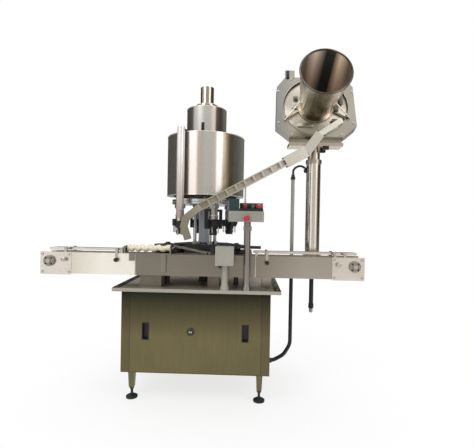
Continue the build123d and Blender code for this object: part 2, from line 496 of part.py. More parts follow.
def column():
    """Round column on its arm, lifting mast and guide rod with its stop collar."""
    arm = span(560, 764, CONV_Y, 84, 764, 878) + rod_z(COLUMN_X, COLUMN_Y, 752, 882, COLUMN_R + 14)
    arm += span(COLUMN_X - 50, COLUMN_X + 50, 70, COLUMN_Y, 764, 878)
    arm += span(376, 600, 68, 84, 775, 865) + span(376, 436, 68, 150, TABLE_Z, 865)
    arm += span(CONDUIT_X - 16, CONDUIT_X + 16, 80, CONDUIT_Y, 800, 826)
    arm -= rod_z(COLUMN_X, COLUMN_Y, 700, 900, COLUMN_R)
    arm -= rod_z(CONDUIT_X, CONDUIT_Y, 700, 900, CONDUIT_R)
    save("column_arm", arm)
    tube = ring_z(COLUMN_X, COLUMN_Y, COLUMN_Z0, COLUMN_Z1, COLUMN_R, COLUMN_BORE)
    tube += rod_z(COLUMN_X, COLUMN_Y, COLUMN_Z0, COLUMN_Z0 + 14, COLUMN_R)
    tube -= rod_z(COLUMN_X, COLUMN_Y, COLUMN_Z0 - 5, COLUMN_Z0 + 30, GUIDE_R + SHAFT_FIT)
    save("column", tube)
    x, y = COLUMN_X, COLUMN_Y
    mast = ring_z(x, y, MAST_Z0, MAST_Z1, MAST_R, MAST_R - 6)
    mast += rod_z(x, y, MAST_Z0, MAST_Z0 + 16, MAST_R - 1) - rod_z(x, y, MAST_Z0 - 1, MAST_Z0 + 20, GUIDE_R)
    save("lift_mast", mast, span(x - 168, x + 168, 52, 172, MAST_Z1, MAST_Z1 + FLANGE_T))
    guide = rod_z(x, y, GUIDE_Z0, GUIDE_Z1, GUIDE_R) + rod_z(x, y, GUIDE_Z0 - 26, GUIDE_Z0, GUIDE_R + 3)
    guide += Pos(x, y, GUIDE_Z0 - 56) * turned([(0, 0), (9, 0), (12, 6), (12, 31), (0, 31)])
    save("guide_rod", guide)


def sorter():
    """Octagonal housing, disc, hopper with stays and the sorter motor."""
    f = sorter_frame()
    back = -PLATE_DEPTH
    house = extrude(f * octagon(), amount=-PLATE_DEPTH)
    inner = extrude(f.offset(5) * octagon(-PLATE_T), amount=-(PLATE_DEPTH + 5 - PLATE_T))
    house -= inner
    lip = extrude(f * octagon(), amount=-PLATE_T) - extrude(f.offset(1) * Circle(DISC_R + 14), amount=-PLATE_T - 2)
    house += lip
    house += extrude(f.offset(-PLATE_T) * (Circle(DISC_R + 17) - Circle(DISC_R + 14)), amount=-26)
    house -= extrude(f.offset(back - 5) * Circle(16), amount=20)
    lug = f * Pos(-PLATE_W / 2 + 92, PLATE_H / 2 + 22, 0) * Box(62, 60, 4)
    house += (lug - f * Pos(-PLATE_W / 2 + 78, PLATE_H / 2 + 22, 0) * Box(12, 40, 8))
    # foot strip under the housing that stands on the mast flange
    foot = span(SORT_X - 160, SORT_X + 160, 52, 82, MAST_Z1 + FLANGE_T, MAST_Z1 + FLANGE_T + 40)
    house += foot - extrude(f * octagon(), amount=-PLATE_DEPTH)
    save("sorter_housing", house)
    disc = extrude(f.offset(-22) * Circle(DISC_R), amount=-DISC_T)
    disc += extrude(f.offset(-22 - DISC_T + 1) * Circle(34), amount=-34)
    disc += extrude(f.offset(-40) * Circle(12), amount=-PLATE_DEPTH + 20)
    for k in range(12):
        a = math.radians(30 * k)
        disc -= extrude(f.offset(-20) * Pos((DISC_R - 20) * math.cos(a), (DISC_R - 20) * math.sin(a)) * Circle(15), amount=-20)
    save("sorting_disc", disc)
    outer = loft([f * Circle(HOPPER_R0), f.offset(HOPPER_L) * Circle(HOPPER_R1)])
    hollow = loft([f.offset(-1) * Circle(HOPPER_R0 - HOPPER_T), f.offset(HOPPER_L + 1) * Circle(HOPPER_R1 - HOPPER_T)])
    cone = outer - hollow
    cone += extrude(f.offset(HOPPER_L - 3) * (Circle(HOPPER_R1 + 3) - Circle(HOPPER_R1 - HOPPER_T - 0.5)), amount=6)
    cone += extrude(f * (Circle(HOPPER_R0 + 16) - Circle(HOPPER_R0 - HOPPER_T)), amount=3)
    for s in (-1, 1):
        bar = extrude(f * Pos(s * 148, -60) * Rot(0, 0, s * -32) * Rectangle(100, 12), amount=4)
        cone += bar
        cone += extrude(f * Pos(s * 190, -86) * Rectangle(26, 22), amount=4)
    save("hopper", cone)
    motor = extrude(f.offset(back) * Rectangle(90, 90), amount=-52) - extrude(f.offset(back + 1) * Circle(13), amount=-30)
    motor += extrude(f.offset(back - 51) * Circle(42), amount=-92)
    save("sorter_motor", motor)


def channel(p, q, width, depth, lap):
    """A square tube between two points with its broad face towards the operator."""
    d = q - p
    across = Vector(0, -1, 0).cross(d)
    g = Plane(origin=(p + q) * 0.5, x_dir=d, z_dir=d.cross(across))
    return g * Box(d.length + 2 * lap, width, depth) - g * Box(d.length + 2 * lap + 9, width - 6, depth - 5)


def chute():
    """Cap chute: drop box under the sorter, straight two-rail run and curved lower end."""
    ax, ay, az = CHUTE_A
    bx, by, bz = CHUTE_B
    run = Vector(bx - ax, by - ay, bz - az)
    length = run.length
    normal = Vector(0, -1, 0).cross(run).normalized()
    out = run.cross(normal).normalized()
    if out.Y > 0:
        out = out * -1
    f = Plane(origin=(ax, ay, az), x_dir=(run.X, run.Y, run.Z), z_dir=(out.X, out.Y, out.Z))

    def piece(s0, s1, w0, w1, d0, d1):
        return f * Pos((s0 + s1) / 2, (w0 + w1) / 2, (d0 + d1) / 2) * Box(s1 - s0, w1 - w0, d1 - d0)

    half = CHUTE_W / 2
    wide = piece(0, 172, -34, 34, -CHUTE_D / 2, -CHUTE_D / 2 + 3)
    wide += piece(0, 172, -34, -28, -CHUTE_D / 2, CHUTE_D / 2) + piece(0, 172, 28, 34, -CHUTE_D / 2, CHUTE_D / 2)
    wide += piece(14, 166, -30, 30, CHUTE_D / 2 - 2, CHUTE_D / 2)
    track = piece(160, length, -half, half, -CHUTE_D / 2, -CHUTE_D / 2 + 3)
    for s in (-1, 1):
        w0, w1 = sorted((s * half, s * (half - 7)))
        track += piece(160, length, w0, w1, -CHUTE_D / 2, CHUTE_D / 2)
    for i in range(9):
        s = 196 + i * 62
        track += piece(s, s + 12, -half, half, CHUTE_D / 2 - 3, CHUTE_D / 2 + 1)
    body = wide + track
    lead = [Vector(842, 32, SORT_Z - 104), Vector(706, 0, SORT_Z - 198), Vector(ax - 6, ay - 1, az - 4)]
    for (p, q), (wid, dep) in zip(zip(lead, lead[1:]), ((34, 15), (58, 20))):
        body += channel(p, q, wid, dep, 8)
    path = [Vector(bx, by, bz), Vector(-87, -92, 1105), Vector(-104, -66, 1052), Vector(-86, -30, 985)]
    for p, q in zip(path, path[1:]):
        body += channel(p, q, CHUTE_W - 4, CHUTE_D, 7)
    inside = CHUTE_W / 2 - 7
    body -= piece(6, length - 4, -inside, inside, -CHUTE_D / 2 + 3, CHUTE_D / 2 - 3)
    body += piece(434, 462, -half, 4, -CHUTE_D / 2 - 15, -CHUTE_D / 2)
    body -= rod_z(STAY_X, STAY_Y, STAY_Z0, STAY_Z1 + 40, STAY_R)
    save("cap_chute", body)
    stay = rod_z(STAY_X, STAY_Y, STAY_Z0, STAY_Z1, STAY_R)
    save("chute_stay", stay)


# Console, junction box, conduit
def flanged_post(x, y, top):
    """A round post with a conical base flange on the table."""
    return Pos(x, y, TABLE_Z) * turned([
        (0, 0), (26.5, 0), (26.5, 6), (CON_POST_R + 1, 30), (CON_POST_R, 32), (CON_POST_R, top - TABLE_Z), (0, top - TABLE_Z)])


def console():
    """Console post, box, bezel and its push buttons."""
    post = flanged_post(POST_X, CON_Y, CON_Z0)
    clamp = span(POST_X - 24, POST_X + 24, CON_Y - 24, STAY_Y + 12, 1036, 1062) - rod_z(POST_X, CON_Y, 1000, 1087, CON_POST_R)
    clamp -= rod_z(STAY_X, STAY_Y, 1000, 1100, STAY_R + SHAFT_FIT)
    save("console_post", post, clamp)
    box = span(CON_X0, CON_X1, CON_Y0, CON_Y1, CON_Z0, CON_Z1)
    box = fillet(box.edges().filter_by(Axis.Z), 4)
    box -= span(CON_X0 + 3, CON_X1 - 3, CON_Y0 + 3, CON_Y1 - 3, CON_Z0 + 3, CON_Z1 - 3)
    box -= rod_y(FRONT_X, FRONT_Z, CON_Y0 - 1, CON_Y0 + 4, 9 + BUTTON_GAP)
    for name, x, r, stem, h, dome in TOP_BUTTONS:
        box -= rod_z(x, TOP_Y, CON_Z1 - 4, CON_Z1 + 1, stem + BUTTON_GAP)
    save("console_box", box)
    bezel = span(CON_X0 + 4, CON_X1 - 4, TOP_Y - 34, TOP_Y + 34, CON_Z1, CON_Z1 + 16)
    bezel += span(CON_X0 + 2, CON_X0 + 60, TOP_Y - 30, TOP_Y + 30, CON_Z1, CON_Z1 + 72)
    for name, x, r, stem, h, dome in TOP_BUTTONS:
        bezel -= rod_z(x, TOP_Y, CON_Z1 - 1, CON_Z1 + 20, stem + BUTTON_GAP)
    save("console_bezel", bezel)
    front = rod_y(FRONT_X, FRONT_Z, CON_Y0 - 22, CON_Y0 - 6, 17) + rod_y(FRONT_X, FRONT_Z, CON_Y0 - 8, CON_Y0 + 12, 9)
    save("stop_button", chamfer(front.edges().filter_by(GeomType.CIRCLE).sort_by(Axis.Y)[0], 3))
    for name, x, r, stem, h, dome in TOP_BUTTONS:
        z0 = CON_Z1 + 16 + TRAVEL
        cap = rod_z(x, TOP_Y, z0, z0 + h, r) + rod_z(x, TOP_Y, CON_Z1 - 16, z0 + 1, stem)
        save(name, chamfer(cap.edges().filter_by(GeomType.CIRCLE).sort_by(Axis.Z)[-1], dome))


def junction_box():
    """Small electrical box on its own post in front of the conveyor."""
    cx = (JBOX_X0 + JBOX_X1) / 2
    post = flanged_post(cx, CON_Y, JBOX_Z0)
    box = span(JBOX_X0, JBOX_X1, JBOX_Y0, JBOX_Y1, JBOX_Z0, JBOX_Z1)
    box = fillet(box.edges().filter_by(Axis.Y), 5)
    box -= span(JBOX_X0 + 3, JBOX_X1 - 3, JBOX_Y0 + 3, JBOX_Y1 - 3, JBOX_Z0 + 3, JBOX_Z1 - 3)
    save("junction_box", box, post)


def hoses():
    """Rigid conduit, upper hose loop to the column and lower hose to the cabinet."""
    top = 1384.0
    conduit = ring_z(CONDUIT_X, CONDUIT_Y, 790, top, CONDUIT_R, CONDUIT_R - 1.5)
    save("conduit", conduit)
    y, run = CONDUIT_Y, 51.3
    c, s = run * math.cos(math.radians(30)), run * math.sin(math.radians(30))
    pts = [(CONDUIT_X, y, top), (CONDUIT_X, y, top + run), (CONDUIT_X + c, y, top + run + s), (CONDUIT_X + 2 * c + 1, y, top + run - 1.5)]
    wire = FilletPolyline(*pts, radius=38)
    print("upper hose bend radius 38.0 mm, diameter", 2 * HOSE_R)
    start = Plane(origin=wire @ 0, z_dir=wire % 0)
    loop = sweep(start * Circle(HOSE_R), path=wire)
    column_wall = rod_z(COLUMN_X, COLUMN_Y, COLUMN_Z0, COLUMN_Z1, COLUMN_R)
    save("upper_hose", loop - column_wall)
    x = CONDUIT_X
    pts = [(x, y, 790), (x, y, HOSE_END_Z + 109.3), (x - 40, y, HOSE_END_Z + 40), (x - 109.3, y, HOSE_END_Z), (CAB_X1 - 16, y, HOSE_END_Z)]
    wire = FilletPolyline(*pts, radius=95)
    print("lower hose bend radius 95.0 mm, diameter", 2 * LOW_HOSE_R)
    start = Plane(origin=wire @ 0, z_dir=wire % 0)
    save("lower_hose", sweep(start * Circle(LOW_HOSE_R), path=wire))


cabinet()
front_panel()
table_and_feet()
conveyor()
guide_rails()
infeed_screw()
turret()
heads()
transfer_stars()
drum()
gearmotor()
column()
sorter()
chute()
console()
junction_box()
hoses()
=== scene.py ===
"""Rotary bottle capping machine: finishes, small fittings, camera and studio around its solids.

Positions are written in machine millimetres: X along the conveyor (bottles travel to +X), Y away from
the operator with zero on the conveyor centre line, Z up from the floor. spot() turns them into metres
in the shared frame. A piece made around (0, MID, 0) lies around the origin of the shared frame.
"""

import json
import logging
import math
from collections.abc import Callable
from dataclasses import dataclass
from enum import Enum

import bpy
from mathutils import Euler, Matrix, Vector

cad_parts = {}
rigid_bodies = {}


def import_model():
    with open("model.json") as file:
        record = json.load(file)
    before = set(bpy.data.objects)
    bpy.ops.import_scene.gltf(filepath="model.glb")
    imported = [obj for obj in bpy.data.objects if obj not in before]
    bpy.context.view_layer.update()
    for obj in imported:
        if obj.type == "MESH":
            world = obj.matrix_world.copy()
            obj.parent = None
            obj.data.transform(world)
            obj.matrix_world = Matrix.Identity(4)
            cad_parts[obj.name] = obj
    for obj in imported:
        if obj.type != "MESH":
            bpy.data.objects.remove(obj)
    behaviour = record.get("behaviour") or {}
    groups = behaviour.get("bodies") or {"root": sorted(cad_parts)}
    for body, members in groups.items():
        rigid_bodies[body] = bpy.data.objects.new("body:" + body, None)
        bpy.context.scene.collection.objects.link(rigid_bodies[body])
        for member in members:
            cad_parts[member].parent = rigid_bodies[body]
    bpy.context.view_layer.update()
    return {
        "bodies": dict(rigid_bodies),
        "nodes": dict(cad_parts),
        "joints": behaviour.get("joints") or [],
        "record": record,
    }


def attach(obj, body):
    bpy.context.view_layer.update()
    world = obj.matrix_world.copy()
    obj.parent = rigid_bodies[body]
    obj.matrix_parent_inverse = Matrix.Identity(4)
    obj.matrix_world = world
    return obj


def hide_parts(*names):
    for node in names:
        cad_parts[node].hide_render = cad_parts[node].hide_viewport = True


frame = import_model()

LOG = logging.getLogger("capping_machine")
MM = 0.001
Y_SHIFT = -151.18
BAR_ROUNDING = 0.8
BARE = 0.0001  # a rounding too small to see
Row = tuple[float, ...]
Point = tuple[float, float, float]
Colour = tuple[int, int, int]
Pair = tuple[float, float]
Profile = tuple[Pair, ...]
Piece = bpy.types.Object
Tree = bpy.types.NodeTree
Socket = bpy.types.NodeSocket


def spot(x: float, y: float, z: float) -> Vector:
    """Return a machine position in millimetres as metres in the shared frame."""
    return Vector((x * MM, (y + Y_SHIFT) * MM, z * MM))


def linear(colour: Colour) -> tuple[float, float, float, float]:
    """Return an sRGB colour of 0 to 255 as a linear colour with alpha."""
    parts = [c / 255 for c in colour]
    low = [c / 12.92 if c <= 0.04045 else ((c + 0.055) / 1.055) ** 2.4 for c in parts]
    return (low[0], low[1], low[2], 1.0)


class Axis(Enum):
    """The three machine axes."""

    X = 0
    Y = 1
    Z = 2

    @property
    def unit(self) -> Vector:
        """Return the axis as a unit vector."""
        return Vector([1.0 if i == self.value else 0.0 for i in range(3)])


UP, FRONT, REAR = Axis.Z.unit, -Axis.Y.unit, Axis.Y.unit
CORNERS = (45, 135, 225, 315)
MID = -Y_SHIFT  # machine Y of the shared frame's origin
HUB = (-10.0, 230.0)  # machine X and Y of the turret's axis


# Finishes


def node(tree: Tree, kind: str, inputs: dict, **settings: str) -> bpy.types.Node:
    """Return a new shader node.

    Args:
        tree: the node tree it joins.
        kind: its type without the word ShaderNode.
        inputs: a value or another node's socket for each input, by name or number.
        settings: values of its own properties.
    """
    made = tree.nodes.new(f"ShaderNode{kind}")
    for key, value in settings.items():
        setattr(made, key, value)
    for key, value in inputs.items():
        if isinstance(value, Socket):
            tree.links.new(value, made.inputs[key])
        else:
            made.inputs[key].default_value = value
    return made


def ramp(tree: Tree, value: Socket, source: Pair, target: Pair) -> Socket:
    """Return a value spread from one range to another."""
    limits = zip(("From Min", "From Max", "To Min", "To Max"), source + target)
    return node(tree, "MapRange", {"Value": value, **dict(limits)}).outputs["Result"]


def mix(tree: Tree, first: Socket | Colour, second: Colour, amount: Socket) -> Socket:
    """Return a colour between two colours."""
    colours = {6: first if isinstance(first, Socket) else linear(first), 7: linear(second)}
    return node(tree, "Mix", {0: amount, **colours}, data_type="RGBA").outputs[2]


def new_tree(owner: bpy.types.Material | bpy.types.World) -> Tree:
    """Return the empty node tree of a new material or world."""
    owner.use_nodes = True
    owner.node_tree.nodes.clear()
    return owner.node_tree


@dataclass(frozen=True)
class Tint:
    """A second colour that takes over along one axis of a piece, used for two-tone parts and also for
    painted shade and painted reflections.

    Attributes:
        axis: axis along which the colour changes.
        start: place in machine millimetres where the change starts.
        end: place where it is complete.
        colour: the colour past end.
    """

    axis: Axis
    start: float
    end: float
    colour: Colour

    def amount(self, tree: Tree, place: Socket) -> Socket:
        """Return 0 before the start and 1 past the end, at a place on the piece."""
        along = node(tree, "SeparateXYZ", {"Vector": place}).outputs[self.axis.name]
        shift = Y_SHIFT if self.axis is Axis.Y else 0.0
        start, end = (self.start + shift) * MM, (self.end + shift) * MM
        if start > end:
            return ramp(tree, along, (end, start), (1.0, 0.0))
        return ramp(tree, along, (start, end), (0.0, 1.0))


def bands(axis: Axis, *rows: tuple[float, float, Colour]) -> tuple[Tint, ...]:
    """Return tints along one axis from their starts, ends and colours."""
    return tuple(Tint(axis, *row) for row in rows)


@dataclass(frozen=True)
class Finish:
    """One procedural finish laid on a piece's own coordinates.

    Attributes:
        name: material name.
        tone: main colour.
        shade: colour of the streaks, stains and worn places.
        metallic: 0 for plastic and paint, 1 for bare metal.
        rough: lowest and highest roughness of the grain.
        grain: grain cells per metre along X, Y and Z.
        bump: height of the grain in millimetres.
        stain: how far the wide stains go towards shade, 0 to 1.
        stain_scale: wide stain cells per metre.
        coat: clear coat weight.
        tints: colours that take over along an axis, some of them painted shade and painted reflections.
        slot: the record's material slot of the scene's own pieces in this finish; not used.
    """

    name: str
    tone: Colour
    shade: Colour
    metallic: float
    rough: Pair
    grain: Point
    bump: float
    stain: float
    stain_scale: float
    coat: float = 0.0
    tints: tuple[Tint, ...] = ()
    slot: str = "stainless"

    def material(self) -> bpy.types.Material:
        """Return the finish as a Blender material, made once."""
        title = f"finish_{self.name}"
        found = bpy.data.materials.get(title)
        if found:
            return found
        material = bpy.data.materials.new(title)
        tree = new_tree(material)
        place = node(tree, "TexCoord", {}).outputs["Object"]
        stretched = node(tree, "Mapping", {"Scale": self.grain, "Vector": place}).outputs["Vector"]
        grain = node(tree, "TexNoise", {"Scale": 1.0, "Detail": 3.0, "Vector": stretched}).outputs["Fac"]
        wide = {"Scale": self.stain_scale, "Detail": 4.0, "Vector": place}
        stain = node(tree, "TexNoise", wide).outputs["Fac"]
        colour = mix(tree, self.tone, self.shade, ramp(tree, grain, (0.3, 0.75), (0.0, 0.45)))
        colour = mix(tree, colour, self.shade, ramp(tree, stain, (0.42, 0.72), (0.0, self.stain)))
        for tint in self.tints:
            colour = mix(tree, colour, tint.colour, tint.amount(tree, place))
        bump = node(tree, "Bump", {"Strength": 0.6, "Distance": self.bump * MM, "Height": grain})
        shader = node(tree, "BsdfPrincipled", {
            "Base Color": colour, "Metallic": self.metallic, "Normal": bump.outputs["Normal"],
            "Roughness": ramp(tree, grain, (0.25, 0.75), self.rough), "Coat Weight": self.coat,
            "Coat Roughness": 0.15})
        node(tree, "OutputMaterial", {"Surface": shader.outputs["BSDF"]})
        return material


UPRIGHT = (420.0, 420.0, 7.0)
ALONG_X = (7.0, 420.0, 420.0)
EVEN = (260.0, 260.0, 260.0)

# Painted shade: the tints darken the shell's front face, and darken the cabinet towards its top as painted
# shadow under the table top.
CABINET = Finish(
    "olive_steel", (118, 109, 78), (90, 82, 58), 0.85, (0.26, 0.42), UPRIGHT, 0.015, 0.5, 3.0,
    slot="olive_steel", tints=bands(Axis.Y, (-77, -79.5, (102, 94, 67)))
        + bands(Axis.Z, (400, 640, (48, 46, 32)), (634, 660, (28, 29, 20))))
# Painted shadow: the tint darkens the panel towards its top, under the table top.
PANEL = Finish(
    "olive_panel_steel", (117, 108, 76), (98, 90, 64), 0.85, (0.24, 0.40), UPRIGHT, 0.015, 0.5, 2.6,
    tints=bands(Axis.Z, (390, 650, (42, 42, 29))))
LEG = Finish("olive_leg_steel", (120, 112, 84), (90, 83, 60), 0.85, (0.3, 0.45), UPRIGHT, 0.015, 0.5, 6.0)
TABLE = Finish("table_steel", (184, 180, 167), (152, 148, 137), 0.9, (0.42, 0.58), ALONG_X, 0.015, 0.4, 4.0)
# Painted light and shade along X: the darker tone right of the joint at X -394 is painted shade and turns
# lighter towards the right end; the near-white plate left of the joint is painted reflection and darkens
# towards its outer end.
SIDE = Finish(
    "conveyor_steel", (142, 135, 123), (118, 112, 101), 1.0, (0.26, 0.40), ALONG_X, 0.015, 0.4, 4.0,
    tints=bands(Axis.X, (300, 620, (174, 168, 156)), (-392, -396, (248, 244, 232)),
        (-600, -800, (222, 212, 198))))
BRIGHT = Finish(
    "bright_steel", (232, 224, 214), (196, 186, 176), 1.0, (0.2, 0.34), ALONG_X, 0.01, 0.35, 8.0,
    slot="bright_stainless")
STEEL = Finish("plain_steel", (200, 195, 185), (160, 154, 144), 1.0, (0.26, 0.42), EVEN, 0.01, 0.4, 9.0)
POLISHED = Finish(
    "polished_steel", (236, 231, 223), (204, 197, 187), 1.0, (0.12, 0.22), UPRIGHT, 0.006, 0.3, 3.0,
    slot="polished_steel")
# Painted reflections: the tints lay a dark band across the neck between lighter streaks, fixed along X.
HOPPER = Finish(
    "hopper_steel", (220, 208, 192), (186, 172, 154), 0.9, (0.2, 0.34), EVEN, 0.006, 0.4, 7.0,
    tints=bands(Axis.X, (600, 640, (112, 104, 80)), (712, 750, (224, 206, 190)),
        (776, 806, (150, 142, 124))))
# Painted reflections and painted shade: a dark inside with light and dark vertical streaks along X.
HOPPER_INSIDE_REFLECTIONS = Finish(
    "hopper_inside_painted_reflections", (118, 108, 86), (86, 78, 62), 0.1, (0.3, 0.45), EVEN, 0.006, 0.4, 9.0,
    tints=bands(Axis.X, (596, 640, (236, 214, 196)), (652, 706, (46, 52, 44)), (752, 782, (250, 218, 192)),
        (786, 822, (104, 92, 76))))
DISC = Finish(
    "sorting_disc_steel", (190, 184, 170), (150, 143, 128), 1.0, (0.28, 0.42), EVEN, 0.01, 0.4, 8.0)
PLATE = Finish(
    "sorter_plate_steel", (180, 176, 163), (142, 136, 123), 1.0, (0.24, 0.4), EVEN, 0.01, 0.55, 6.0,
    tints=bands(Axis.X, (560, 445, (146, 149, 148))))
CHUTE = Finish(
    "chute_steel", (206, 202, 190), (176, 172, 158), 0.6, (0.3, 0.45), EVEN, 0.01, 0.4, 10.0,
    tints=bands(Axis.X, (420, 100, (168, 163, 146)), (60, -70, (136, 130, 110))))
LIGHT_PAINT = Finish(
    "light_grey_paint", (146, 145, 136), (120, 119, 110), 0.0, (0.35, 0.5), EVEN, 0.02, 0.3, 12.0, 0.2)
CONDUIT_PAINT = Finish(
    "conduit_paint", (157, 158, 150), (132, 133, 125), 0.0, (0.35, 0.5), EVEN, 0.02, 0.3, 12.0, 0.2)
POST = Finish("post_steel", (154, 149, 141), (124, 119, 111), 1.0, (0.26, 0.42), UPRIGHT, 0.01, 0.4, 9.0)
LOCK = Finish("lock_steel", (84, 74, 68), (40, 35, 32), 0.9, (0.25, 0.4), EVEN, 0.01, 0.6, 60.0)
TOP_TUBE = Finish(
    "top_tube_steel", (186, 180, 170), (156, 150, 140), 1.0, (0.14, 0.26), UPRIGHT, 0.006, 0.3, 3.0)
# Painted reflections: the dark base and the light and dark vertical bands along X stand in for reflected
# light; the rear half takes one plain light tone.
DRUM = Finish(
    "drum_steel", (108, 104, 96), (92, 88, 80), 0.5, (0.2, 0.32), UPRIGHT, 0.006, 0.3, 3.0,
    tints=bands(Axis.X, (-94, -82, (250, 238, 230)), (-46, -30, (186, 178, 168)), (-2, 12, (188, 188, 183)),
        (46, 62, (196, 184, 174)), (74, 84, (252, 244, 238)), (106, 122, (184, 168, 146)),
        (134, 160, (100, 92, 70)), (176, 202, (124, 126, 120)))
        + bands(Axis.Y, (216, 280, (228, 222, 213))))
# Painted reflections: the dark base and the light and dark vertical bands along X stand in for reflected
# light; the rear half takes one plain light tone.
UPPER_DRUM = Finish(
    "upper_drum_steel", (92, 86, 78), (78, 72, 64), 0.4, (0.28, 0.4), UPRIGHT, 0.006, 0.3, 3.0,
    tints=bands(Axis.X, (-90, -76, (188, 186, 181)), (18, 34, (196, 182, 174)), (54, 66, (84, 74, 66)),
        (94, 108, (126, 122, 114))) + bands(Axis.Y, (222, 262, (222, 216, 208))))
BOX_PAINT = Finish(
    "junction_box_paint", (160, 158, 146), (134, 132, 120), 0.0, (0.35, 0.5), EVEN, 0.02, 0.3, 12.0, 0.2)
CREAM = Finish(
    "cream_plastic", (238, 230, 208), (206, 194, 164), 0.0, (0.32, 0.46), (90.0, 300.0, 300.0), 0.03, 0.4,
    14.0, slot="white_plastic")
SLAT = Finish("slat_plastic", (128, 124, 114), (88, 84, 76), 0.0, (0.4, 0.6), ALONG_X, 0.05, 0.6, 9.0)
DARK = Finish(
    "blackened_steel", (58, 58, 60), (30, 30, 32), 0.6, (0.3, 0.5), EVEN, 0.02, 0.5, 14.0,
    slot="dark_steel")
STAR = Finish("star_plastic", (52, 50, 50), (28, 27, 27), 0.0, (0.35, 0.5), EVEN, 0.02, 0.5, 10.0)
TURRET_TUBE = Finish(
    "star_and_tube", (52, 50, 50), (28, 27, 27), 0.0, (0.3, 0.45), EVEN, 0.02, 0.5, 10.0,
    tints=bands(Axis.Z, (942, 948, (168, 174, 182))))
BLACK = Finish(
    "black_plastic", (17, 17, 18), (9, 9, 10), 0.0, (0.4, 0.6), EVEN, 0.03, 0.5, 20.0, slot="black_plastic")
RUBBER = Finish(
    "black_rubber", (34, 34, 35), (18, 18, 18), 0.0, (0.5, 0.7), (500.0, 500.0, 500.0), 0.05, 0.5, 16.0)
STRIP = Finish(
    "edge_strip_steel", (58, 56, 52), (34, 33, 30), 0.7, (0.3, 0.5), (420.0, 7.0, 420.0), 0.02, 0.5, 10.0,
    slot="dark_steel")
CAST = Finish(
    "grey_cast_iron", (150, 145, 134), (112, 107, 98), 0.3, (0.4, 0.6), (180.0, 180.0, 180.0), 0.15, 0.5,
    12.0, slot="cast_grey")
RED = Finish("red_plastic", (190, 30, 52), (150, 18, 38), 0.0, (0.22, 0.35), EVEN, 0.01, 0.3, 30.0, 0.4)
DARK_RED = Finish(
    "dark_red_plastic", (122, 24, 34), (84, 14, 22), 0.0, (0.25, 0.38), EVEN, 0.01, 0.3, 30.0, 0.3)
GREEN = Finish("green_plastic", (24, 92, 76), (14, 62, 52), 0.0, (0.25, 0.38), EVEN, 0.01, 0.3, 30.0, 0.3)
BEZEL = Finish(
    "bezel_plastic", (30, 30, 32), (16, 16, 18), 0.0, (0.3, 0.45), EVEN, 0.02, 0.4, 20.0,
    tints=bands(Axis.X, (231, 228.5, (18, 56, 54))))
GUIDE_ROD = Finish(
    "guide_rod_black", (40, 38, 38), (24, 22, 22), 0.5, (0.25, 0.4), UPRIGHT, 0.01, 0.4, 12.0,
    tints=bands(Axis.Z, (536, 533, (150, 146, 140))))
MAST = Finish("mast_steel", (214, 204, 190), (176, 166, 150), 1.0, (0.2, 0.32), UPRIGHT, 0.006, 0.3, 5.0)
# Painted highlight: near white at the top, turning tan towards the lower end.
HANGING = Finish(
    "hanging_tube_steel", (250, 246, 242), (226, 218, 210), 0.45, (0.2, 0.3), UPRIGHT, 0.006, 0.3, 4.0,
    slot="polished_steel", tints=bands(Axis.Z, (1500, 1120, (176, 162, 152))))
GUIDE = Finish(
    "sorter_guide_steel", (120, 115, 102), (84, 79, 68), 0.8, (0.3, 0.5), EVEN, 0.02, 0.5, 14.0,
    slot="dark_steel")
RIM = Finish(
    "dark_rim", (34, 34, 30), (24, 24, 21), 0.0, (0.45, 0.6), EVEN, 0.02, 0.4, 14.0, slot="dark_steel")
CARRIAGE = Finish(
    "carriage_steel", (146, 139, 127), (120, 114, 103), 1.0, (0.26, 0.4), EVEN, 0.01, 0.4, 6.0)
ARM = Finish("arm_steel", (120, 110, 88), (96, 86, 66), 1.0, (0.26, 0.4), EVEN, 0.01, 0.4, 9.0)
STAR_HUB = Finish(
    "tie_rod_steel", (204, 208, 214), (158, 160, 164), 1.0, (0.2, 0.34), UPRIGHT, 0.006, 0.3, 8.0,
    slot="polished_steel")

NODE_FINISH: dict[str, Finish] = {
    "cabinet_shell": CABINET, "front_panel": PANEL, "panel_pulls": BLACK, "panel_lock": LOCK,
    "tabletop": TABLE, "leg_tubes": LEG, "levelling_feet": RUBBER,
    "conveyor_sides": SIDE, "conveyor_bed": STEEL, "end_plates": BRIGHT, "slat_chain": SLAT,
    "tail_sprocket": STEEL, "drive_sprocket": STEEL, "flange_bearings": CAST, "conveyor_pedestals": GUIDE,
    "guide_rails": BRIGHT, "rail_clamps": STEEL, "clamp_knob_left": BLACK, "clamp_knob_right": BLACK,
    "timing_screw": CREAM, "screw_carriage": CARRIAGE, "centre_post": POLISHED, "main_star": TURRET_TUBE,
    "head_carrier": STAR_HUB, "infeed_star": STAR, "outfeed_star": STAR, "guide_deck": DARK,
    "drum_cover": DRUM, "upper_cover": UPPER_DRUM, "top_tube": TOP_TUBE, "gearmotor": CAST,
    "column_arm": STEEL, "column": POLISHED, "lift_mast": MAST, "guide_rod": GUIDE_ROD,
    "sorter_housing": PLATE, "sorting_disc": DISC, "hopper": HOPPER, "sorter_motor": CAST,
    "cap_chute": CHUTE, "chute_stay": BRIGHT, "console_post": POST, "console_box": LIGHT_PAINT,
    "console_bezel": BEZEL, "stop_button": RED, "run_button_red": DARK_RED, "run_button_green": GREEN,
    "mushroom_button": RED, "junction_box": BOX_PAINT, "conduit": CONDUIT_PAINT,
    "upper_hose": RUBBER, "lower_hose": RUBBER,
    **{f"head_{k}": STEEL for k in range(1, 5)}, **{f"chuck_{k}": DARK for k in range(1, 5)},
}


# Bench work on meshes


def pick(*pieces: Piece) -> None:
    """Select only these pieces and make the first one active."""
    bpy.ops.object.select_all(action="DESELECT")
    for piece in pieces:
        piece.select_set(True)
    bpy.context.view_layer.objects.active = pieces[0]


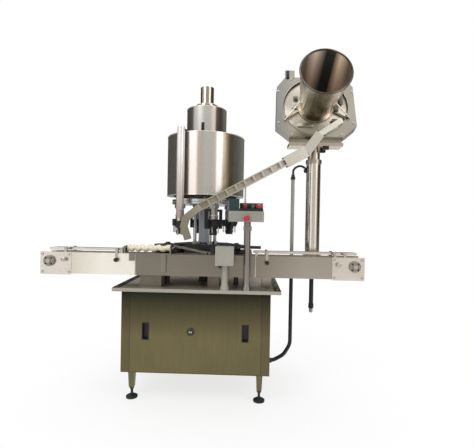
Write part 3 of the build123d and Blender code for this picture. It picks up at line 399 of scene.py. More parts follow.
def switch(mode: str) -> None:
    """Put the active piece in EDIT or OBJECT mode."""
    bpy.ops.object.mode_set(mode=mode)


def edit(kind: str, action: str) -> None:
    """Go to edit mode for one kind of element and select or deselect all of them."""
    switch("EDIT")
    bpy.ops.mesh.select_mode(type=kind)
    bpy.ops.mesh.select_all(action=action)


def select_faces(obj: Piece, keep: Callable[[Vector, Vector], bool]) -> None:
    """Select, in edit mode, the faces for which keep(centre, normal) is true."""
    edit("FACE", "DESELECT")
    switch("OBJECT")
    for face in obj.data.polygons:
        face.select = keep(face.center, face.normal)
    switch("EDIT")


def select_edges(obj: Piece, keep: Callable[[Vector, Vector], bool]) -> None:
    """Select, in edit mode, the edges for which keep(end, other end) is true."""
    edit("EDGE", "DESELECT")
    switch("OBJECT")
    for edge in obj.data.edges:
        edge.select = keep(*(obj.data.vertices[i].co for i in edge.vertices))
    switch("EDIT")


def apply_all(obj: Piece) -> None:
    """Put the object's place, turn and size into its mesh."""
    pick(obj)
    bpy.ops.object.transform_apply(location=True, rotation=True, scale=True)


def soften(obj: Piece, width: float, steps: int = 2) -> None:
    """Round the edges sharper than 35 degrees by a width in millimetres."""
    bevel = obj.modifiers.new("rounding", "BEVEL")
    bevel.width = width * MM
    bevel.segments = steps
    bevel.limit_method = "ANGLE"
    bevel.angle_limit = math.radians(35)
    pick(obj)
    bpy.ops.object.modifier_apply(modifier=bevel.name)


def smooth(obj: Piece) -> None:
    """Shade the mesh smooth where its faces meet at less than 40 degrees."""
    pick(obj)
    bpy.ops.object.shade_smooth_by_angle(angle=math.radians(40))


def block(low: Point, high: Point, rounding: float, steps: int = 2) -> Piece:
    """Return a rounded block between two machine corners."""
    a, b = spot(*low), spot(*high)
    bpy.ops.mesh.primitive_cube_add(size=1.0, location=(a + b) / 2)
    obj = bpy.context.object
    obj.scale = [abs(v) for v in (b - a)]
    apply_all(obj)
    soften(obj, rounding, steps)
    smooth(obj)
    return obj


def facing(along: Vector) -> Euler:
    """Return the turn from the Z axis to a direction."""
    return along.to_track_quat("Z", "Y").to_euler()


def bar(start: Point, end: Point, radius: float, sides: int = 32) -> Piece:
    """Return a round bar between two machine points with softened ends."""
    a, b = spot(*start), spot(*end)
    run = b - a
    bpy.ops.mesh.primitive_cylinder_add(vertices=sides, radius=radius * MM, depth=run.length,
                                        location=(a + b) / 2)
    obj = bpy.context.object
    obj.rotation_euler = facing(run)
    apply_all(obj)
    soften(obj, BAR_ROUNDING)
    smooth(obj)
    return obj


def turned(base: Point, along: Vector, profile: Profile, sides: int) -> Piece:
    """Return a turned piece.

    Args:
        base: machine point at height zero of the profile.
        along: direction of the axis.
        profile: (radius, height) pairs in millimetres from the lower end to the upper end.
        sides: number of sides.

    Returns:
        The closed, turned mesh.
    """
    radius, height = profile[0]
    bpy.ops.mesh.primitive_circle_add(vertices=sides, radius=radius * MM, fill_type="NGON",
                                      location=(0, 0, height * MM))
    obj = bpy.context.object
    apply_all(obj)
    edit("FACE", "SELECT")
    for next_radius, next_height in profile[1:]:
        rise = (0, 0, (next_height - height) * MM)
        bpy.ops.mesh.extrude_region_move(TRANSFORM_OT_translate={"value": rise})
        ratio = next_radius / radius
        bpy.ops.transform.resize(value=(ratio, ratio, 1.0), center_override=(0, 0, next_height * MM))
        radius, height = next_radius, next_height
    bpy.ops.mesh.select_all(action="SELECT")
    bpy.ops.mesh.normals_make_consistent(inside=False)
    switch("OBJECT")
    obj.rotation_euler = facing(along)
    obj.location = spot(*base)
    apply_all(obj)
    smooth(obj)
    return obj


def hoop(centre: Point, along: Vector, radius: float, thickness: float, sides: int) -> Piece:
    """Return a round wire ring about a machine point."""
    bpy.ops.mesh.primitive_torus_add(location=spot(*centre), rotation=facing(along),
                                     major_radius=radius * MM, minor_radius=thickness * MM,
                                     major_segments=sides, minor_segments=10)
    obj = bpy.context.object
    apply_all(obj)
    smooth(obj)
    return obj


def ring_points(radius: float, degrees: Row | range) -> list[Pair]:
    """Return places on a circle about zero at the given angles in degrees."""
    return [(radius * math.cos(math.radians(a)), radius * math.sin(math.radians(a))) for a in degrees]


def copies(pattern: Piece, moves: list[Matrix]) -> list[Piece]:
    """Return the pattern and copies of it with their own meshes, each moved by a matrix.

    Args:
        pattern: the modelled piece, which takes the first move itself.
        moves: one matrix in metres for each piece.

    Returns:
        All the pieces.
    """
    made = []
    for move in moves[1:]:
        twin = pattern.copy()
        twin.data = pattern.data.copy()
        bpy.context.collection.objects.link(twin)
        twin.data.transform(move)
        made.append(twin)
    pattern.data.transform(moves[0])
    return [pattern] + made


def joined(pieces: list[Piece]) -> Piece:
    """Return the pieces as one object."""
    pick(*pieces)
    bpy.ops.object.join()
    return pieces[0]


def fit(obj: Piece, name: str, finish: Finish, body: str = "machine") -> None:
    """Name a piece, dress it and let it ride on its body.

    Args:
        obj: the piece.
        name: its name.
        finish: its finish.
        body: the CAD body it moves with.
    """
    obj.name = name
    obj.data.name = name
    obj.data.materials.clear()
    obj.data.materials.append(finish.material())
    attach(obj, body)
    LOG.info("fitted %s on %s", name, body)


def bolts(centres: list[Point], along: Vector, radius: float, height: float) -> Piece:
    """Return hexagon screws on washers, all with their axis along one direction.

    Args:
        centres: machine points on the face under each washer.
        along: direction the heads point to.
        radius: head radius in millimetres.
        height: head height in millimetres.

    Returns:
        One object with all the screws.
    """
    washer = ((radius * 1.35, -0.4), (radius * 1.35, 1.2))
    head = ((radius, 1.0), (radius, height * 0.85), (radius * 0.82, height))
    pattern = joined([turned((0, MID, 0), UP, shape, sides) for shape, sides in ((washer, 20), (head, 6))])
    turn = along.to_track_quat("Z", "Y").to_matrix().to_4x4()
    return joined(copies(pattern, [Matrix.Translation(spot(*c)) @ turn for c in centres]))


# Sub-assemblies


@dataclass
class Nodes:
    """The CAD pieces and their finishes."""

    finishes: dict[str, Finish]

    def dress(self) -> None:
        """Give every CAD piece its finish."""
        for name, finish in self.finishes.items():
            obj = bpy.data.objects[name]
            material = finish.material()
            if not obj.material_slots:
                obj.data.materials.append(material)
            for place in obj.material_slots:
                place.material = material
            LOG.info("dressed %s with %s", name, finish.name)


@dataclass
class Table:
    """Strips, screws and louvres on the table and cabinet."""

    top: float = 685.0
    strip_x: Profile = ((-515, -475), (441, 481))
    strip_y: Pair = (-107, 567)
    strip_height: float = 3.0
    screw_y: Row = (-80, 80, 240, 400, 540)
    louvre_x: Pair = (-300, 255)
    louvre_z: Row = (500, 518, 536, 554, 572, 590)

    def build(self) -> None:
        """Build the edge strips, their screws and two rows of louvres on the rear cabinet wall."""
        top = self.top + self.strip_height
        y0, y1 = self.strip_y
        for side, (x0, x1) in zip(("left", "right"), self.strip_x):
            fit(block((x0, y0, self.top), (x1, y1, top), 1.0), f"edge_strip_{side}", STRIP)
        points = [((x0 + x1) / 2, y, top) for x0, x1 in self.strip_x for y in self.screw_y]
        fit(bolts(points, UP, 4.5, 3.0), "edge_strip_screws", STEEL)
        hoods = [block((x - 55, 538, z), (x + 55, 545.5, z + 7), 3.0, 3)
                 for x in self.louvre_x for z in self.louvre_z]
        fit(joined(hoods), "rear_louvres", CABINET)


@dataclass
class LockFace:
    """Bright face of the panel lock, left and right of its key slot."""

    x: float = -50.0
    z: float = 426.0
    front: float = -90.0
    plate_x: Profile = ((-8.4, -2.4), (2.4, 8.4))
    half_height: float = 5.5
    thickness: float = 0.8

    def build(self) -> None:
        """Build the two bright plates on the lock's boss."""
        x, low, high = self.x, self.z - self.half_height, self.z + self.half_height
        plates = [block((x + x0, self.front - self.thickness, low), (x + x1, self.front, high), 0.35, 3)
                  for x0, x1 in self.plate_x]
        fit(joined(plates), "lock_face", STAR_HUB, "lock")


@dataclass
class Conveyor:
    """Screws, knobs and joint strips of the conveyor."""

    half: float = 975.0
    face: float = 68.0
    bearing_face: float = 83.0
    z0: float = 750.0
    z1: float = 887.0
    shaft: Pair = (917, 833)
    knob_x: float = 823.0
    knob: Profile = ((11, 0), (11, 5), (8, 6), (8, 12), (13, 13), (13, 24), (10, 26))
    joint_x: Pair = (-394, 330)
    joint_y: Profile = ((-67.2, -64.5), (64.5, 67.2))

    def build(self) -> None:
        """Build end plate screws, bearing screws, knobs and the strips over the side plates' joints."""
        x, z = self.shaft
        for name, side, along in (("front", -1, FRONT), ("rear", 1, REAR)):
            points = [(s * (self.half - inset), side * self.face, height) for s in (-1, 1)
                      for inset in (14, 176) for height in (self.z1 - 14, self.z0 + 16)]
            fit(bolts(points, along, 6.0, 5.0), f"end_plate_screws_{name}", STEEL)
            points = [(s * x + dx, side * self.bearing_face, z + dz) for s in (-1, 1)
                      for dx, dz in ring_points(25, CORNERS)]
            fit(bolts(points, along, 4.2, 3.6), f"bearing_screws_{name}", DARK)
        knobs = [turned((s * self.knob_x - 2, -self.face, 842), FRONT, self.knob, 24) for s in (-1, 1)]
        fit(joined(knobs), "end_plate_knobs", STEEL)
        strips = [block((x - 3, y0, 758), (x + 3, y1, 883), 0.6)
                  for y0, y1 in self.joint_y for x in self.joint_x]
        fit(joined(strips), "side_plate_joints", STEEL)


@dataclass
class TimingScrew:
    """Cream timing screw whose thread widens towards the star."""

    x0: float = -448.0
    x1: float = -188.0
    y: float = -29.0
    z: float = 917.0
    radius: float = 22.5
    depth: float = 8.0
    pitch: Pair = (36, 62)
    run_out: float = 9.0
    flank: float = 0.72
    cuts: int = 160
    sides: int = 48

    def turns(self, x: float) -> float:
        """Return how many thread turns lie before a place along the screw."""
        share = (x - self.x0) / (self.x1 - self.x0)
        first, last = self.pitch
        mean = first + (last - first) * share / 2
        return (x - self.x0) / mean

    def build(self) -> None:
        """Build the threaded bar and its shaft in place of the plain solid."""
        bpy.ops.mesh.primitive_cylinder_add(vertices=self.sides, radius=self.radius * MM,
                                            depth=(self.x1 - self.x0) * MM)
        obj = bpy.context.object
        obj.rotation_euler = (0, math.pi / 2, 0)
        obj.location = spot((self.x0 + self.x1) / 2, self.y, self.z)
        apply_all(obj)
        select_edges(obj, lambda a, b: abs(a.x - b.x) > 0.1)
        bpy.ops.mesh.subdivide(number_cuts=self.cuts)
        switch("OBJECT")
        centre = spot(0, self.y, self.z)
        for vertex in obj.data.vertices:
            across = Vector((0, vertex.co.y - centre.y, vertex.co.z - centre.z))
            angle = math.atan2(across.z, across.y) / (2 * math.pi)
            x = vertex.co.x / MM
            phase = (self.turns(x) - angle) % 1.0
            dip = max(0.0, math.sin(math.pi * min(phase / self.flank, 1.0))) ** 0.8
            edge = min(1.0, (x - self.x0) / self.run_out, (self.x1 - x) / self.run_out)
            scale = 1.0 - dip * max(edge, 0.0) * self.depth / self.radius
            vertex.co.y = centre.y + across.y * scale
            vertex.co.z = centre.z + across.z * scale
        smooth(obj)
        shaft = bar((self.x0 - 18, self.y, self.z), (self.x1 + 16, self.y, self.z), 8.0)
        fit(obj, "timing_screw_thread", CREAM, "screw")
        fit(shaft, "timing_screw_shaft", STEEL, "screw")
        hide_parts("timing_screw")


@dataclass
class Heads:
    """Cast yokes, blocks and fingers of the four capping heads."""

    pitch_radius: float = 175.0
    angles: Row = (24, 114, 204, 294)

    def moves(self) -> list[Matrix]:
        """Return the place of each head as a matrix from a head at the middle that faces the operator."""
        middle = Matrix.Translation(spot(*HUB, 0))
        out = Matrix.Translation((0, -self.pitch_radius * MM, 0))
        return [middle @ Matrix.Rotation(math.radians(angle), 4, "Z") @ out for angle in self.angles]

    def build(self) -> None:
        """Build the yokes, blocks, rings and fingers."""
        self.spread(self.arch(), "head_yoke", BLACK)
        blocks = [block((-26, MID + y, 1054), (26, MID + y + 19, 1100), 4.0, 3) for y in (-46, 27)]
        blocks += [block((x, MID - 30, 1062), (x + 6, MID + 30, 1094), 2.0) for x in (-33, 27)]
        self.spread(joined(blocks), "head_block", BLACK)
        self.spread(hoop((0, MID, 1123), UP, 28.5, 3.5, 48), "head_ring", BRIGHT)
        fingers = [bar((x, MID + y, 1012), (x, MID + y, 1056), 3.6, 16)
                   for y in (-36, 36) for x in (-20, 20)]
        self.spread(joined(fingers), "head_fingers", STEEL)

    def arch(self) -> Piece:
        """Return an arched yoke across one head, open in the middle."""
        outer = block((-56, MID - 11, 1040), (56, MID + 11, 1164), BARE, 1)
        select_edges(outer, lambda a, b: abs(a.y - b.y) > 0.02 and min(a.z, b.z) > 1.16)
        bpy.ops.mesh.bevel(offset=52 * MM, segments=8)
        select_faces(outer, lambda c, n: abs(n.y) > 0.9)
        bpy.ops.mesh.inset(thickness=15 * MM, use_individual=True)
        bpy.ops.mesh.bridge_edge_loops()
        bpy.ops.mesh.select_all(action="SELECT")
        bpy.ops.mesh.remove_doubles(threshold=0.00005)
        bpy.ops.mesh.normals_make_consistent(inside=False)
        switch("OBJECT")
        soften(outer, 1.5)
        smooth(outer)
        return outer

    def spread(self, pattern: Piece, name: str, finish: Finish) -> None:
        """Copy one head's piece to all four heads."""
        for k, piece in enumerate(copies(pattern, self.moves()), 1):
            fit(piece, f"{name}_{k}", finish, f"press_{k}")


@dataclass
class Turret:
    """Fittings of the head carrier and its tie rods."""

    rod_radius: float = 75.0
    rod_angles: Row = (-147, -57, 33, 123)
    lower_nut: Profile = ((19, 0), (19, 12), (17, 14))
    upper_nut: Profile = ((17, 0), (19, 2), (19, 16))

    def build(self) -> None:
        """Build the carrier screws, the rod nuts and the carrier's rim."""
        x, y = HUB
        ring = [(x + dx, y + dy, 1226) for dx, dy in ring_points(60, range(30, 360, 60))]
        fit(bolts(ring, UP, 6.5, 6.0), "carrier_screws", STEEL, "turret")
        nuts = [turned((x + dx, y + dy, z), UP, profile, 6)
                for dx, dy in ring_points(self.rod_radius, self.rod_angles)
                for z, profile in ((937, self.lower_nut), (1180, self.upper_nut))]
        fit(joined(nuts), "tie_rod_nuts", STEEL, "turret")
        fit(hoop((x, y, 1211), UP, 221, 3.0, 96), "carrier_rim", STEEL, "turret")


@dataclass
class HangingTube:
    """Fixed tube at the drum's front left with its arm, collar, block and fingers."""

    x: float = -136.0
    y: float = -27.0
    end: float = 1104.0
    step: float = 1150.0
    lid: float = 1640.0
    cover_radius: float = 133.0

    def build(self) -> None:
        """Build the tube and arm on the drum's lid, and the fittings at the lower end."""
        x, y, z = self.x, self.y, self.end
        step, lid = self.step - z, self.lid - z
        profile = ((20, 0), (20, step - 4), (24, step), (24, lid + 18), (22, lid + 20))
        fit(turned((x, y, z), UP, profile, 48), "hanging_tube", HANGING)
        reach = Vector((HUB[0] - x, HUB[1] - y, 0))
        length = reach.length - self.cover_radius - 3
        arm = block((-20, MID - 15, 3.2), (length, MID + 15, 13.2), 2.0)
        turn = reach.to_track_quat("X", "Z").to_matrix().to_4x4()
        arm.data.transform(Matrix.Translation(spot(x, y, self.lid)) @ turn)
        fit(arm, "hanging_tube_arm", ARM)
        collar = turned((x, y, z - 18), UP, ((16, 0), (20.8, 2), (20.8, 14), (20.4, 18)), 40)
        fit(collar, "hanging_tube_collar", BRIGHT)
        grip = block((x - 20, y - 18, z - 61), (x + 20, y + 18, z - 17), 4.0, 3)
        fit(grip, "hanging_tube_block", BLACK)
        fingers = [bar((x + dx, y + dy, z - 103), (x + dx, y + dy, z - 58), 3.4, 16)
                   for dx in (-11, 11) for dy in (-9, 9)]
        fit(joined(fingers), "hanging_tube_fingers", STEEL)


@dataclass
class Drum:
    """Beads, seams, slot frame and lid screws of the two covers."""

    beads: tuple[tuple[float, float, float, int], ...] = (
        (1252, 256.2, 2.4, 128), (1637, 256.2, 2.4, 128), (1643, 132.4, 2, 96), (1831, 132.4, 2, 96),
        (1866, 70, 2, 64), (1986, 44, 1.6, 64))
    seams: tuple[Row, ...] = ((5, 257, 1256, 1633), (4, 133, 1647, 1828))
    frame_plates: tuple[tuple[Point, Point], ...] = (
        ((-34, 100.6, 1645), (-6, 103, 1726)), ((-30, 95.9, 1650), (-25.6, 99.2, 1720)),
        ((-14.4, 95.6, 1650), (-10, 98.6, 1720)), ((-30, 95.6, 1719), (-10, 99.2, 1723)))

    def build(self) -> None:
        """Build the rolled beads, the lid screws, the slot's frame and the rear seams."""
        x, y = HUB
        beads = [hoop((x, y, z), UP, radius, wire, sides) for z, radius, wire, sides in self.beads]
        fit(joined(beads), "cover_beads", POLISHED)
        rings = [(x + dx, y + dy, z) for radius, z, step in ((238, 1640, 30), (100, 1834, 60))
                 for dx, dy in ring_points(radius, range(15, 375, step))]
        fit(bolts(rings, UP, 5.0, 4.0), "cover_screws", STEEL)
        frame = [block(low, high, rounding) for (low, high), rounding
                 in zip(self.frame_plates, (0.5, 0.6, 0.6, 0.6))]
        fit(joined(frame), "key_slot_frame", BLACK)
        seams = [block((x - half, y + radius - 2.0, z0), (x + half, y + radius + 0.8, z1), 0.7)
                 for half, radius, z0, z1 in self.seams]
        fit(joined(seams), "cover_seams", POLISHED)


@dataclass
class Sorter:
    """Fittings on the tilted cap sorter."""

    origin: Point = (694, 80, 1826)
    tilt: float = 17.0
    depth: float = 70.0
    lip: Point = (324.2, 144, 4.4)
    screws: Profile = ((-232, -120), (232, -120), (-234, 110), (234, 110),
                       (-150, -200), (150, -200), (-150, 200), (150, 200))
    guides: tuple[Row, ...] = ((150, 172, 10, 120, 9, 2.5), (112, 140, -40, 6, 14, 3),
                                             (96, 150, -120, -96, 12, 3), (-140, -112, 44, 66, 10, 2.5))
    gates: tuple[Row, ...] = ((-118, -20, -150, -126, 8, 2), (-150, -118, -20, 20, 6, 2))
    reflection_sheet_ends: tuple[Pair, Pair] = ((95.8, 5), (139.8, 320))
    reflection_sheet_wall: float = 0.6

    def turn(self) -> Matrix:
        """Return the matrix from the plate's own frame in metres to the shared frame."""
        t = math.radians(self.tilt)
        out = Vector((0, -math.cos(t), math.sin(t)))
        across = Vector((1, 0, 0))
        up = out.cross(across)
        place = Matrix((across, up, out)).transposed().to_4x4()
        return Matrix.Translation(spot(*self.origin)) @ place

    def settle(self, obj: Piece) -> Piece:
        """Move a piece that was made around the origin onto the plate."""
        obj.data.transform(self.turn())
        return obj

    def mount(self, obj: Piece, name: str, finish: Finish) -> None:
        """Move a piece that was made around the origin onto the plate and let it ride on the mast."""
        fit(self.settle(obj), name, finish, "mast")

    def build(self) -> None:
        """Build the rims, screws, guides, gates, latch, stays and lip, then the larger fittings."""
        self.mount(joined([hoop((0, MID, 1.2), UP, 204, 3.0, 96), hoop((0, MID, 3), UP, 115, 2.4, 64)]),
                   "sorter_rims", PLATE)
        self.mount(bolts([(x, MID + y, 0) for x, y in self.screws], UP, 6.0, 5.0), "sorter_screws", STEEL)
        for name, plates, finish in (("guides", self.guides, GUIDE), ("gates", self.gates, STEEL)):
            self.mount(joined([block((x0, MID + y0, 0), (x1, MID + y1, height), rounding)
                               for x0, x1, y0, y1, height, rounding in plates]), f"sorter_{name}", finish)
        self.mount(block((-181, MID + 206, 0.0), (-163, MID + 262, 10), 2.5, 3), "sorter_latch", BLACK)
        self.mount(bolts([(s * 190, MID - 86, 4) for s in (-1, 1)], UP, 6.0, 5.0), "stay_screws", DARK)
        stays = [bar((-92, MID + 6, 64), (-198, MID - 106, 6), 4.5),
                 bar((92, MID + 6, 64), (212, MID - 90, 6), 4.5)]
        self.mount(joined(stays), "hopper_stay_bars", BRIGHT)
        self.mount(hoop((0, MID, self.lip[0]), UP, self.lip[1], self.lip[2], 96), "hopper_lip", RIM)
        self.reflection_sheet()
        self.disc()
        self.motor()
        self.flange()

    def reflection_sheet(self) -> None:
        """Build the thin sheet inside the hopper's cone that carries painted reflections and painted shade.
        """
        (radius, low), (end_radius, high) = self.reflection_sheet_ends
        bpy.ops.mesh.primitive_cone_add(vertices=96, radius1=radius * MM, radius2=end_radius * MM,
                                        depth=(high - low) * MM, end_fill_type="NOTHING",
                                        location=(0, 0, (high + low) / 2 * MM))
        sheet = bpy.context.object
        apply_all(sheet)
        wall = sheet.modifiers.new("wall", "SOLIDIFY")
        wall.thickness = self.reflection_sheet_wall * MM
        wall.offset = -1.0
        bpy.ops.object.modifier_apply(modifier=wall.name)
        smooth(sheet)
        self.mount(sheet, "hopper_reflection_sheet", HOPPER_INSIDE_REFLECTIONS)

    def disc(self) -> None:
        """Build the plain face and hub of the sorting disc in place of the holed solid."""
        profile = ((12, 0), (12, 10), (34, 12), (34, 36), (197, 38), (199, 40), (199, 48), (196, 50))
        face = turned((0, MID, -self.depth + 14), UP, profile, 96)
        fit(self.settle(face), "sorting_disc_face", DISC, "disc")
        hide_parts("sorting_disc")

    def motor(self) -> None:
        """Build the ribs, fan cowl and terminal box of the sorter motor."""
        ribs = [hoop((0, MID, -self.depth - z), UP, 41.6, 2.2, 48) for z in (62, 72, 82, 92, 102, 112)]
        ribs.append(turned((0, MID, -self.depth - 143), UP, ((36, -4), (44, 2), (44, 22), (42, 24)), 48))
        self.mount(joined(ribs), "sorter_motor_ribs", CAST)
        case = block((-24, MID + 36, -self.depth - 118), (24, MID + 66, -self.depth - 66), 4.0, 3)
        self.mount(case, "sorter_motor_terminal_box", BLACK)

    def flange(self) -> None:
        """Build the black clamp blocks and screws under the sorter."""
        blocks = [block((x0, y0, 1549), (x1, y1, 1572), 3.0)
                  for y0, y1 in ((48, 74), (150, 176)) for x0, x1 in ((636, 680), (742, 778))]
        fit(joined(blocks), "flange_blocks", BLACK, "mast")
        screws = bolts([(x, y, 1591) for x in (545, 850) for y in (100, 150)], UP, 6.5, 6.0)
        fit(screws, "flange_screws", STEEL, "mast")
        clamp = turned((698, 130, 1468), UP, ((45.6, -2), (50.5, -1), (50.5, 24), (45.6, 25)), 64)
        fit(clamp, "column_collar", STEEL)


@dataclass
class Console:
    """Ring, band, screws and glands of the console and junction box."""

    x0: float = 168.0
    x1: float = 372.0
    front: float = -150.0
    z0: float = 1088.0
    z1: float = 1150.0
    margin: float = 9.0
    post_y: float = -92.0

    def build(self) -> None:
        """Build the stop button's ring, the dark band, the glands and the screws."""
        fit(hoop((273, -149.8, 1108), FRONT, 12.5, 1.0, 48), "stop_ring", BLACK)
        band = block((230, -73.5, self.z1 + 0.5), (368, -66, self.z1 + 50), 2.0)
        fit(band, "console_band", BLACK)
        corners = [(x, self.front, z) for x in (self.x0 + self.margin, self.x1 - self.margin)
                   for z in (self.z0 + self.margin, self.z1 - self.margin)]
        corners += [(x, self.front, z) for x in (103, 194) for z in (840, 936)]
        fit(bolts(corners, FRONT, 3.0, 2.0), "cover_plate_screws", STEEL)
        glands = [turned(place, -UP, ((11, 0), (11, 8), (9, 9), (9, 16), (6, 18)), 6)
                  for place in ((210, -90, 1088), (120, -105, 832))]
        fit(joined(glands), "cable_glands", BLACK)
        feet = [(x + dx, self.post_y + dy, 691)
                for x in (279.0, 148.5) for dx, dy in ring_points(22, CORNERS)]
        fit(bolts(feet, UP, 2.6, 2.4), "post_foot_screws", STEEL)


@dataclass
class Hoses:
    """Nuts at the ends of the conduit and hoses."""

    conduit_nut: Profile = ((14, 0), (16, 1), (16, 16), (12, 20), (12, 30), (8.5, 34))
    hose_nut: Profile = ((14, 0), (17, 2), (17, 18), (14, 22), (14, 32), (12.6, 34))
    cabinet_nut: Profile = ((19, 0), (19, 8), (16, 10), (16, 22), (12.8, 26))
    gland: Profile = ((14, -2), (14, 8), (10, 12), (8, 14))

    def build(self) -> None:
        """Build the three nuts and the gland on the column."""
        right = Axis.X.unit
        nuts = [turned((567, 130, 1366), UP, self.conduit_nut, 6),
                turned((567, 130, 804), -UP, self.hose_nut, 24),
                turned((424.5, 130, 190), right, self.cabinet_nut, 24)]
        fit(joined(nuts), "hose_nuts", DARK)
        fit(turned((650, 130, 1424), -right, self.gland, 24), "hose_column_gland", DARK)


@dataclass
class EntryGuide:
    """Bent steel strip that leads past the front of the star."""

    path: tuple[Point, ...] = ((-168, -50, 932), (-110, -53, 926), (-50, -56, 914),
                               (10, -58, 902), (72, -58, 896))
    half_height: float = 7.0
    half_width: float = 1.5

    def build(self) -> None:
        """Build the bent strip on two short posts at the conveyor's front edge."""
        strips = []
        for (x0, y0, z0), (x1, y1, z1) in zip(self.path, self.path[1:]):
            run = Vector((x1 - x0, y1 - y0, z1 - z0))
            reach = run.length / 2 + 0.6
            piece = block((-reach, MID - self.half_width, -self.half_height),
                          (reach, MID + self.half_width, self.half_height), 0.6)
            turn = run.to_track_quat("X", "Z").to_matrix().to_4x4()
            middle = spot((x0 + x1) / 2, (y0 + y1) / 2, (z0 + z1) / 2)
            piece.data.transform(Matrix.Translation(middle) @ turn)
            strips.append(piece)
        posts = [bar((x, y, 884.5), (x, y, top), 4.0, 20)
                 for x, y, top in ((-150, -56, 930), (40, -61, 900))]
        fit(joined(strips), "entry_guide", GUIDE)
        fit(joined(posts), "entry_guide_posts", DARK)


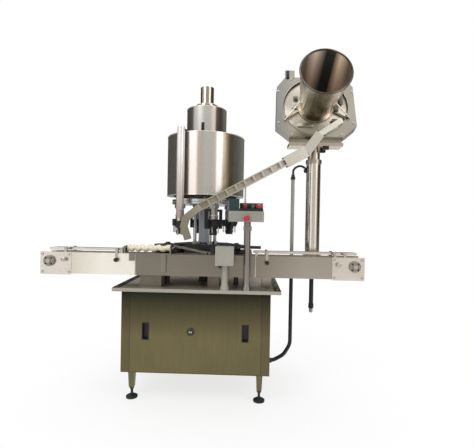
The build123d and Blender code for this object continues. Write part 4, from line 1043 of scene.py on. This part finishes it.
@dataclass
class Studio:
    """Camera, floor, soft lamps and flags."""

    eye: Point = (280.633, -2238.602, 1091.765)
    yaw: float = 0.030
    pitch: float = -0.008
    roll: float = 0.018
    focal: float = 363.91
    width: float = 474.0
    sensor: float = 36.0
    floor_size: float = 60.0
    floor_height: float = -0.0005
    flag_reach: float = 9.0
    flag_top: float = 8.0
    flags: tuple[tuple[str, float, float, Colour], ...] = (
        ("front", -21, 30, (204, 197, 184)), ("right", 57, 81, (106, 94, 68)),
        ("far_right", 82, 118, (58, 50, 40)), ("left", -60, -48, (60, 52, 46)),
        ("rear_right", 119, 180, (158, 154, 147)), ("rear_left", -180, -86, (84, 80, 72)))

    def camera(self) -> None:
        """Place the camera that matches the photograph's view."""
        cy, sy = math.cos(self.yaw), math.sin(self.yaw)
        cp, sp = math.cos(self.pitch), math.sin(self.pitch)
        ahead = Vector((-sy * cp, cy * cp, sp))
        right0 = Vector((cy, sy, 0))
        up0 = right0.cross(ahead)
        right = math.cos(self.roll) * right0 + math.sin(self.roll) * up0
        up = -math.sin(self.roll) * right0 + math.cos(self.roll) * up0
        data = bpy.data.cameras.new("camera")
        data.sensor_fit = "HORIZONTAL"
        data.sensor_width = self.sensor
        data.lens = self.focal / self.width * self.sensor
        data.clip_end = 100.0
        camera = bpy.data.objects.new("camera", data)
        bpy.context.collection.objects.link(camera)
        turn = Matrix((right, up, -ahead)).transposed().to_4x4()
        camera.matrix_world = Matrix.Translation(spot(*self.eye)) @ turn
        bpy.context.scene.camera = camera

    @staticmethod
    def looked_at(tree: Tree) -> Socket:
        """Return 1 for camera, glossy and transmission rays and 0 for the light that falls on things."""
        path = node(tree, "LightPath", {})
        found = path.outputs["Is Camera Ray"]
        for kind in ("Glossy", "Transmission"):
            both = {0: found, 1: path.outputs[f"Is {kind} Ray"]}
            found = node(tree, "Math", both, operation="MAXIMUM").outputs[0]
        return found

    def floor(self) -> None:
        """Lay a wide pale floor."""
        bpy.ops.mesh.primitive_plane_add(size=self.floor_size, location=(0, 0, self.floor_height))
        floor = bpy.context.object
        floor.name = "floor"
        material = bpy.data.materials.new("floor_white")
        tree = new_tree(material)
        shader = node(tree, "BsdfPrincipled", {"Base Color": (0.96, 0.96, 0.96, 1), "Roughness": 0.9,
                                               "Specular IOR Level": 0.0})
        place = node(tree, "TexCoord", {}).outputs["Object"]
        reach = node(tree, "VectorMath", {0: place}, operation="LENGTH").outputs["Value"]
        far = ramp(tree, reach, (0.7, 1.9), (0.74, 1.0))
        amount = node(tree, "Math", {0: far, 1: self.looked_at(tree)}, operation="MULTIPLY").outputs[0]
        white = node(tree, "Emission", {})
        sides = {1: shader.outputs["BSDF"], 2: white.outputs["Emission"]}
        blend = node(tree, "MixShader", {"Fac": amount, **sides})
        node(tree, "OutputMaterial", {"Surface": blend.outputs["Shader"]})
        floor.data.materials.append(material)

    def lamp(self, name: str, place: Point, aim: Point, size: Pair, power: float) -> None:
        """Hang one soft lamp.

        Args:
            name: lamp name.
            place: position in metres.
            aim: point it faces, in metres.
            size: width and height in metres.
            power: watts.
        """
        data = bpy.data.lights.new(name, "AREA")
        data.shape = "RECTANGLE"
        data.size, data.size_y = size
        data.energy = power
        lamp = bpy.data.objects.new(name, data)
        bpy.context.collection.objects.link(lamp)
        lamp.location = place
        lamp.rotation_euler = (Vector(aim) - Vector(place)).to_track_quat("-Z", "Y").to_euler()

    def flag(self, name: str, first: float, last: float, colour: Colour) -> None:
        """Stand a coloured card round the stage that only metal and glass reflect.

        Args:
            name: card name.
            first: bearing of its first edge in degrees from the operator side towards +X.
            last: bearing of its last edge.
            colour: its colour.
        """
        bpy.ops.mesh.primitive_circle_add(vertices=180, radius=self.flag_reach, location=(0, 0, 0))
        card = bpy.context.object
        card.name = name
        edit("EDGE", "SELECT")
        bpy.ops.mesh.extrude_region_move(TRANSFORM_OT_translate={"value": (0, 0, self.flag_top)})
        switch("OBJECT")

        def bearing(c: Vector) -> float:
            """Return the bearing of a place in degrees."""
            return math.degrees(math.atan2(c.x, -c.y))

        select_faces(card, lambda c, n: not first <= bearing(c) <= last)
        bpy.ops.mesh.delete(type="FACE")
        switch("OBJECT")
        material = bpy.data.materials.new(name)
        tree = new_tree(material)
        glow = node(tree, "Emission", {"Color": linear(colour)})
        node(tree, "OutputMaterial", {"Surface": glow.outputs["Emission"]})
        card.data.materials.append(material)
        for ray in ("camera", "diffuse", "shadow", "transmission"):
            setattr(card, f"visible_{ray}", False)

    def world(self) -> None:
        """Light the stage evenly and show white to the camera, metal and glass."""
        world = bpy.data.worlds.new("studio")
        bpy.context.scene.world = world
        tree = new_tree(world)
        level = ramp(tree, self.looked_at(tree), (0.0, 1.0), (0.72, 1.0))
        back = node(tree, "Background", {"Color": (1, 1, 1, 1), "Strength": level})
        node(tree, "OutputWorld", {"Surface": back.outputs["Background"]})

    def build(self) -> None:
        """Set up camera, floor, lamps, flags and world."""
        self.camera()
        self.floor()
        self.lamp("key", (-2.6, -3.4, 4.2), (0, 0, 1.0), (2.4, 2.4), 70.0)
        self.lamp("fill", (3.6, -2.6, 3.4), (0.2, 0, 1.0), (2.0, 2.6), 35.0)
        self.lamp("top", (0.0, 0.6, 5.0), (0, 0, 0.5), (3.5, 3.0), 60.0)
        for name, first, last, colour in self.flags:
            self.flag(f"flag_{name}", first, last, colour)
        self.world()
        bpy.context.scene.view_settings.view_transform = "Standard"


def main() -> None:
    """Build and dress the whole machine."""
    logging.basicConfig(level=logging.INFO, format="%(name)s: %(message)s")
    Studio().build()
    Nodes(NODE_FINISH).dress()
    for assembly in (Table(), LockFace(), Conveyor(), TimingScrew(), EntryGuide(), Turret(), Heads(),
                     Drum(), HangingTube(), Sorter(), Console(), Hoses()):
        assembly.build()
        LOG.info("built %s", type(assembly).__name__)


if __name__ == "__main__":
    main()
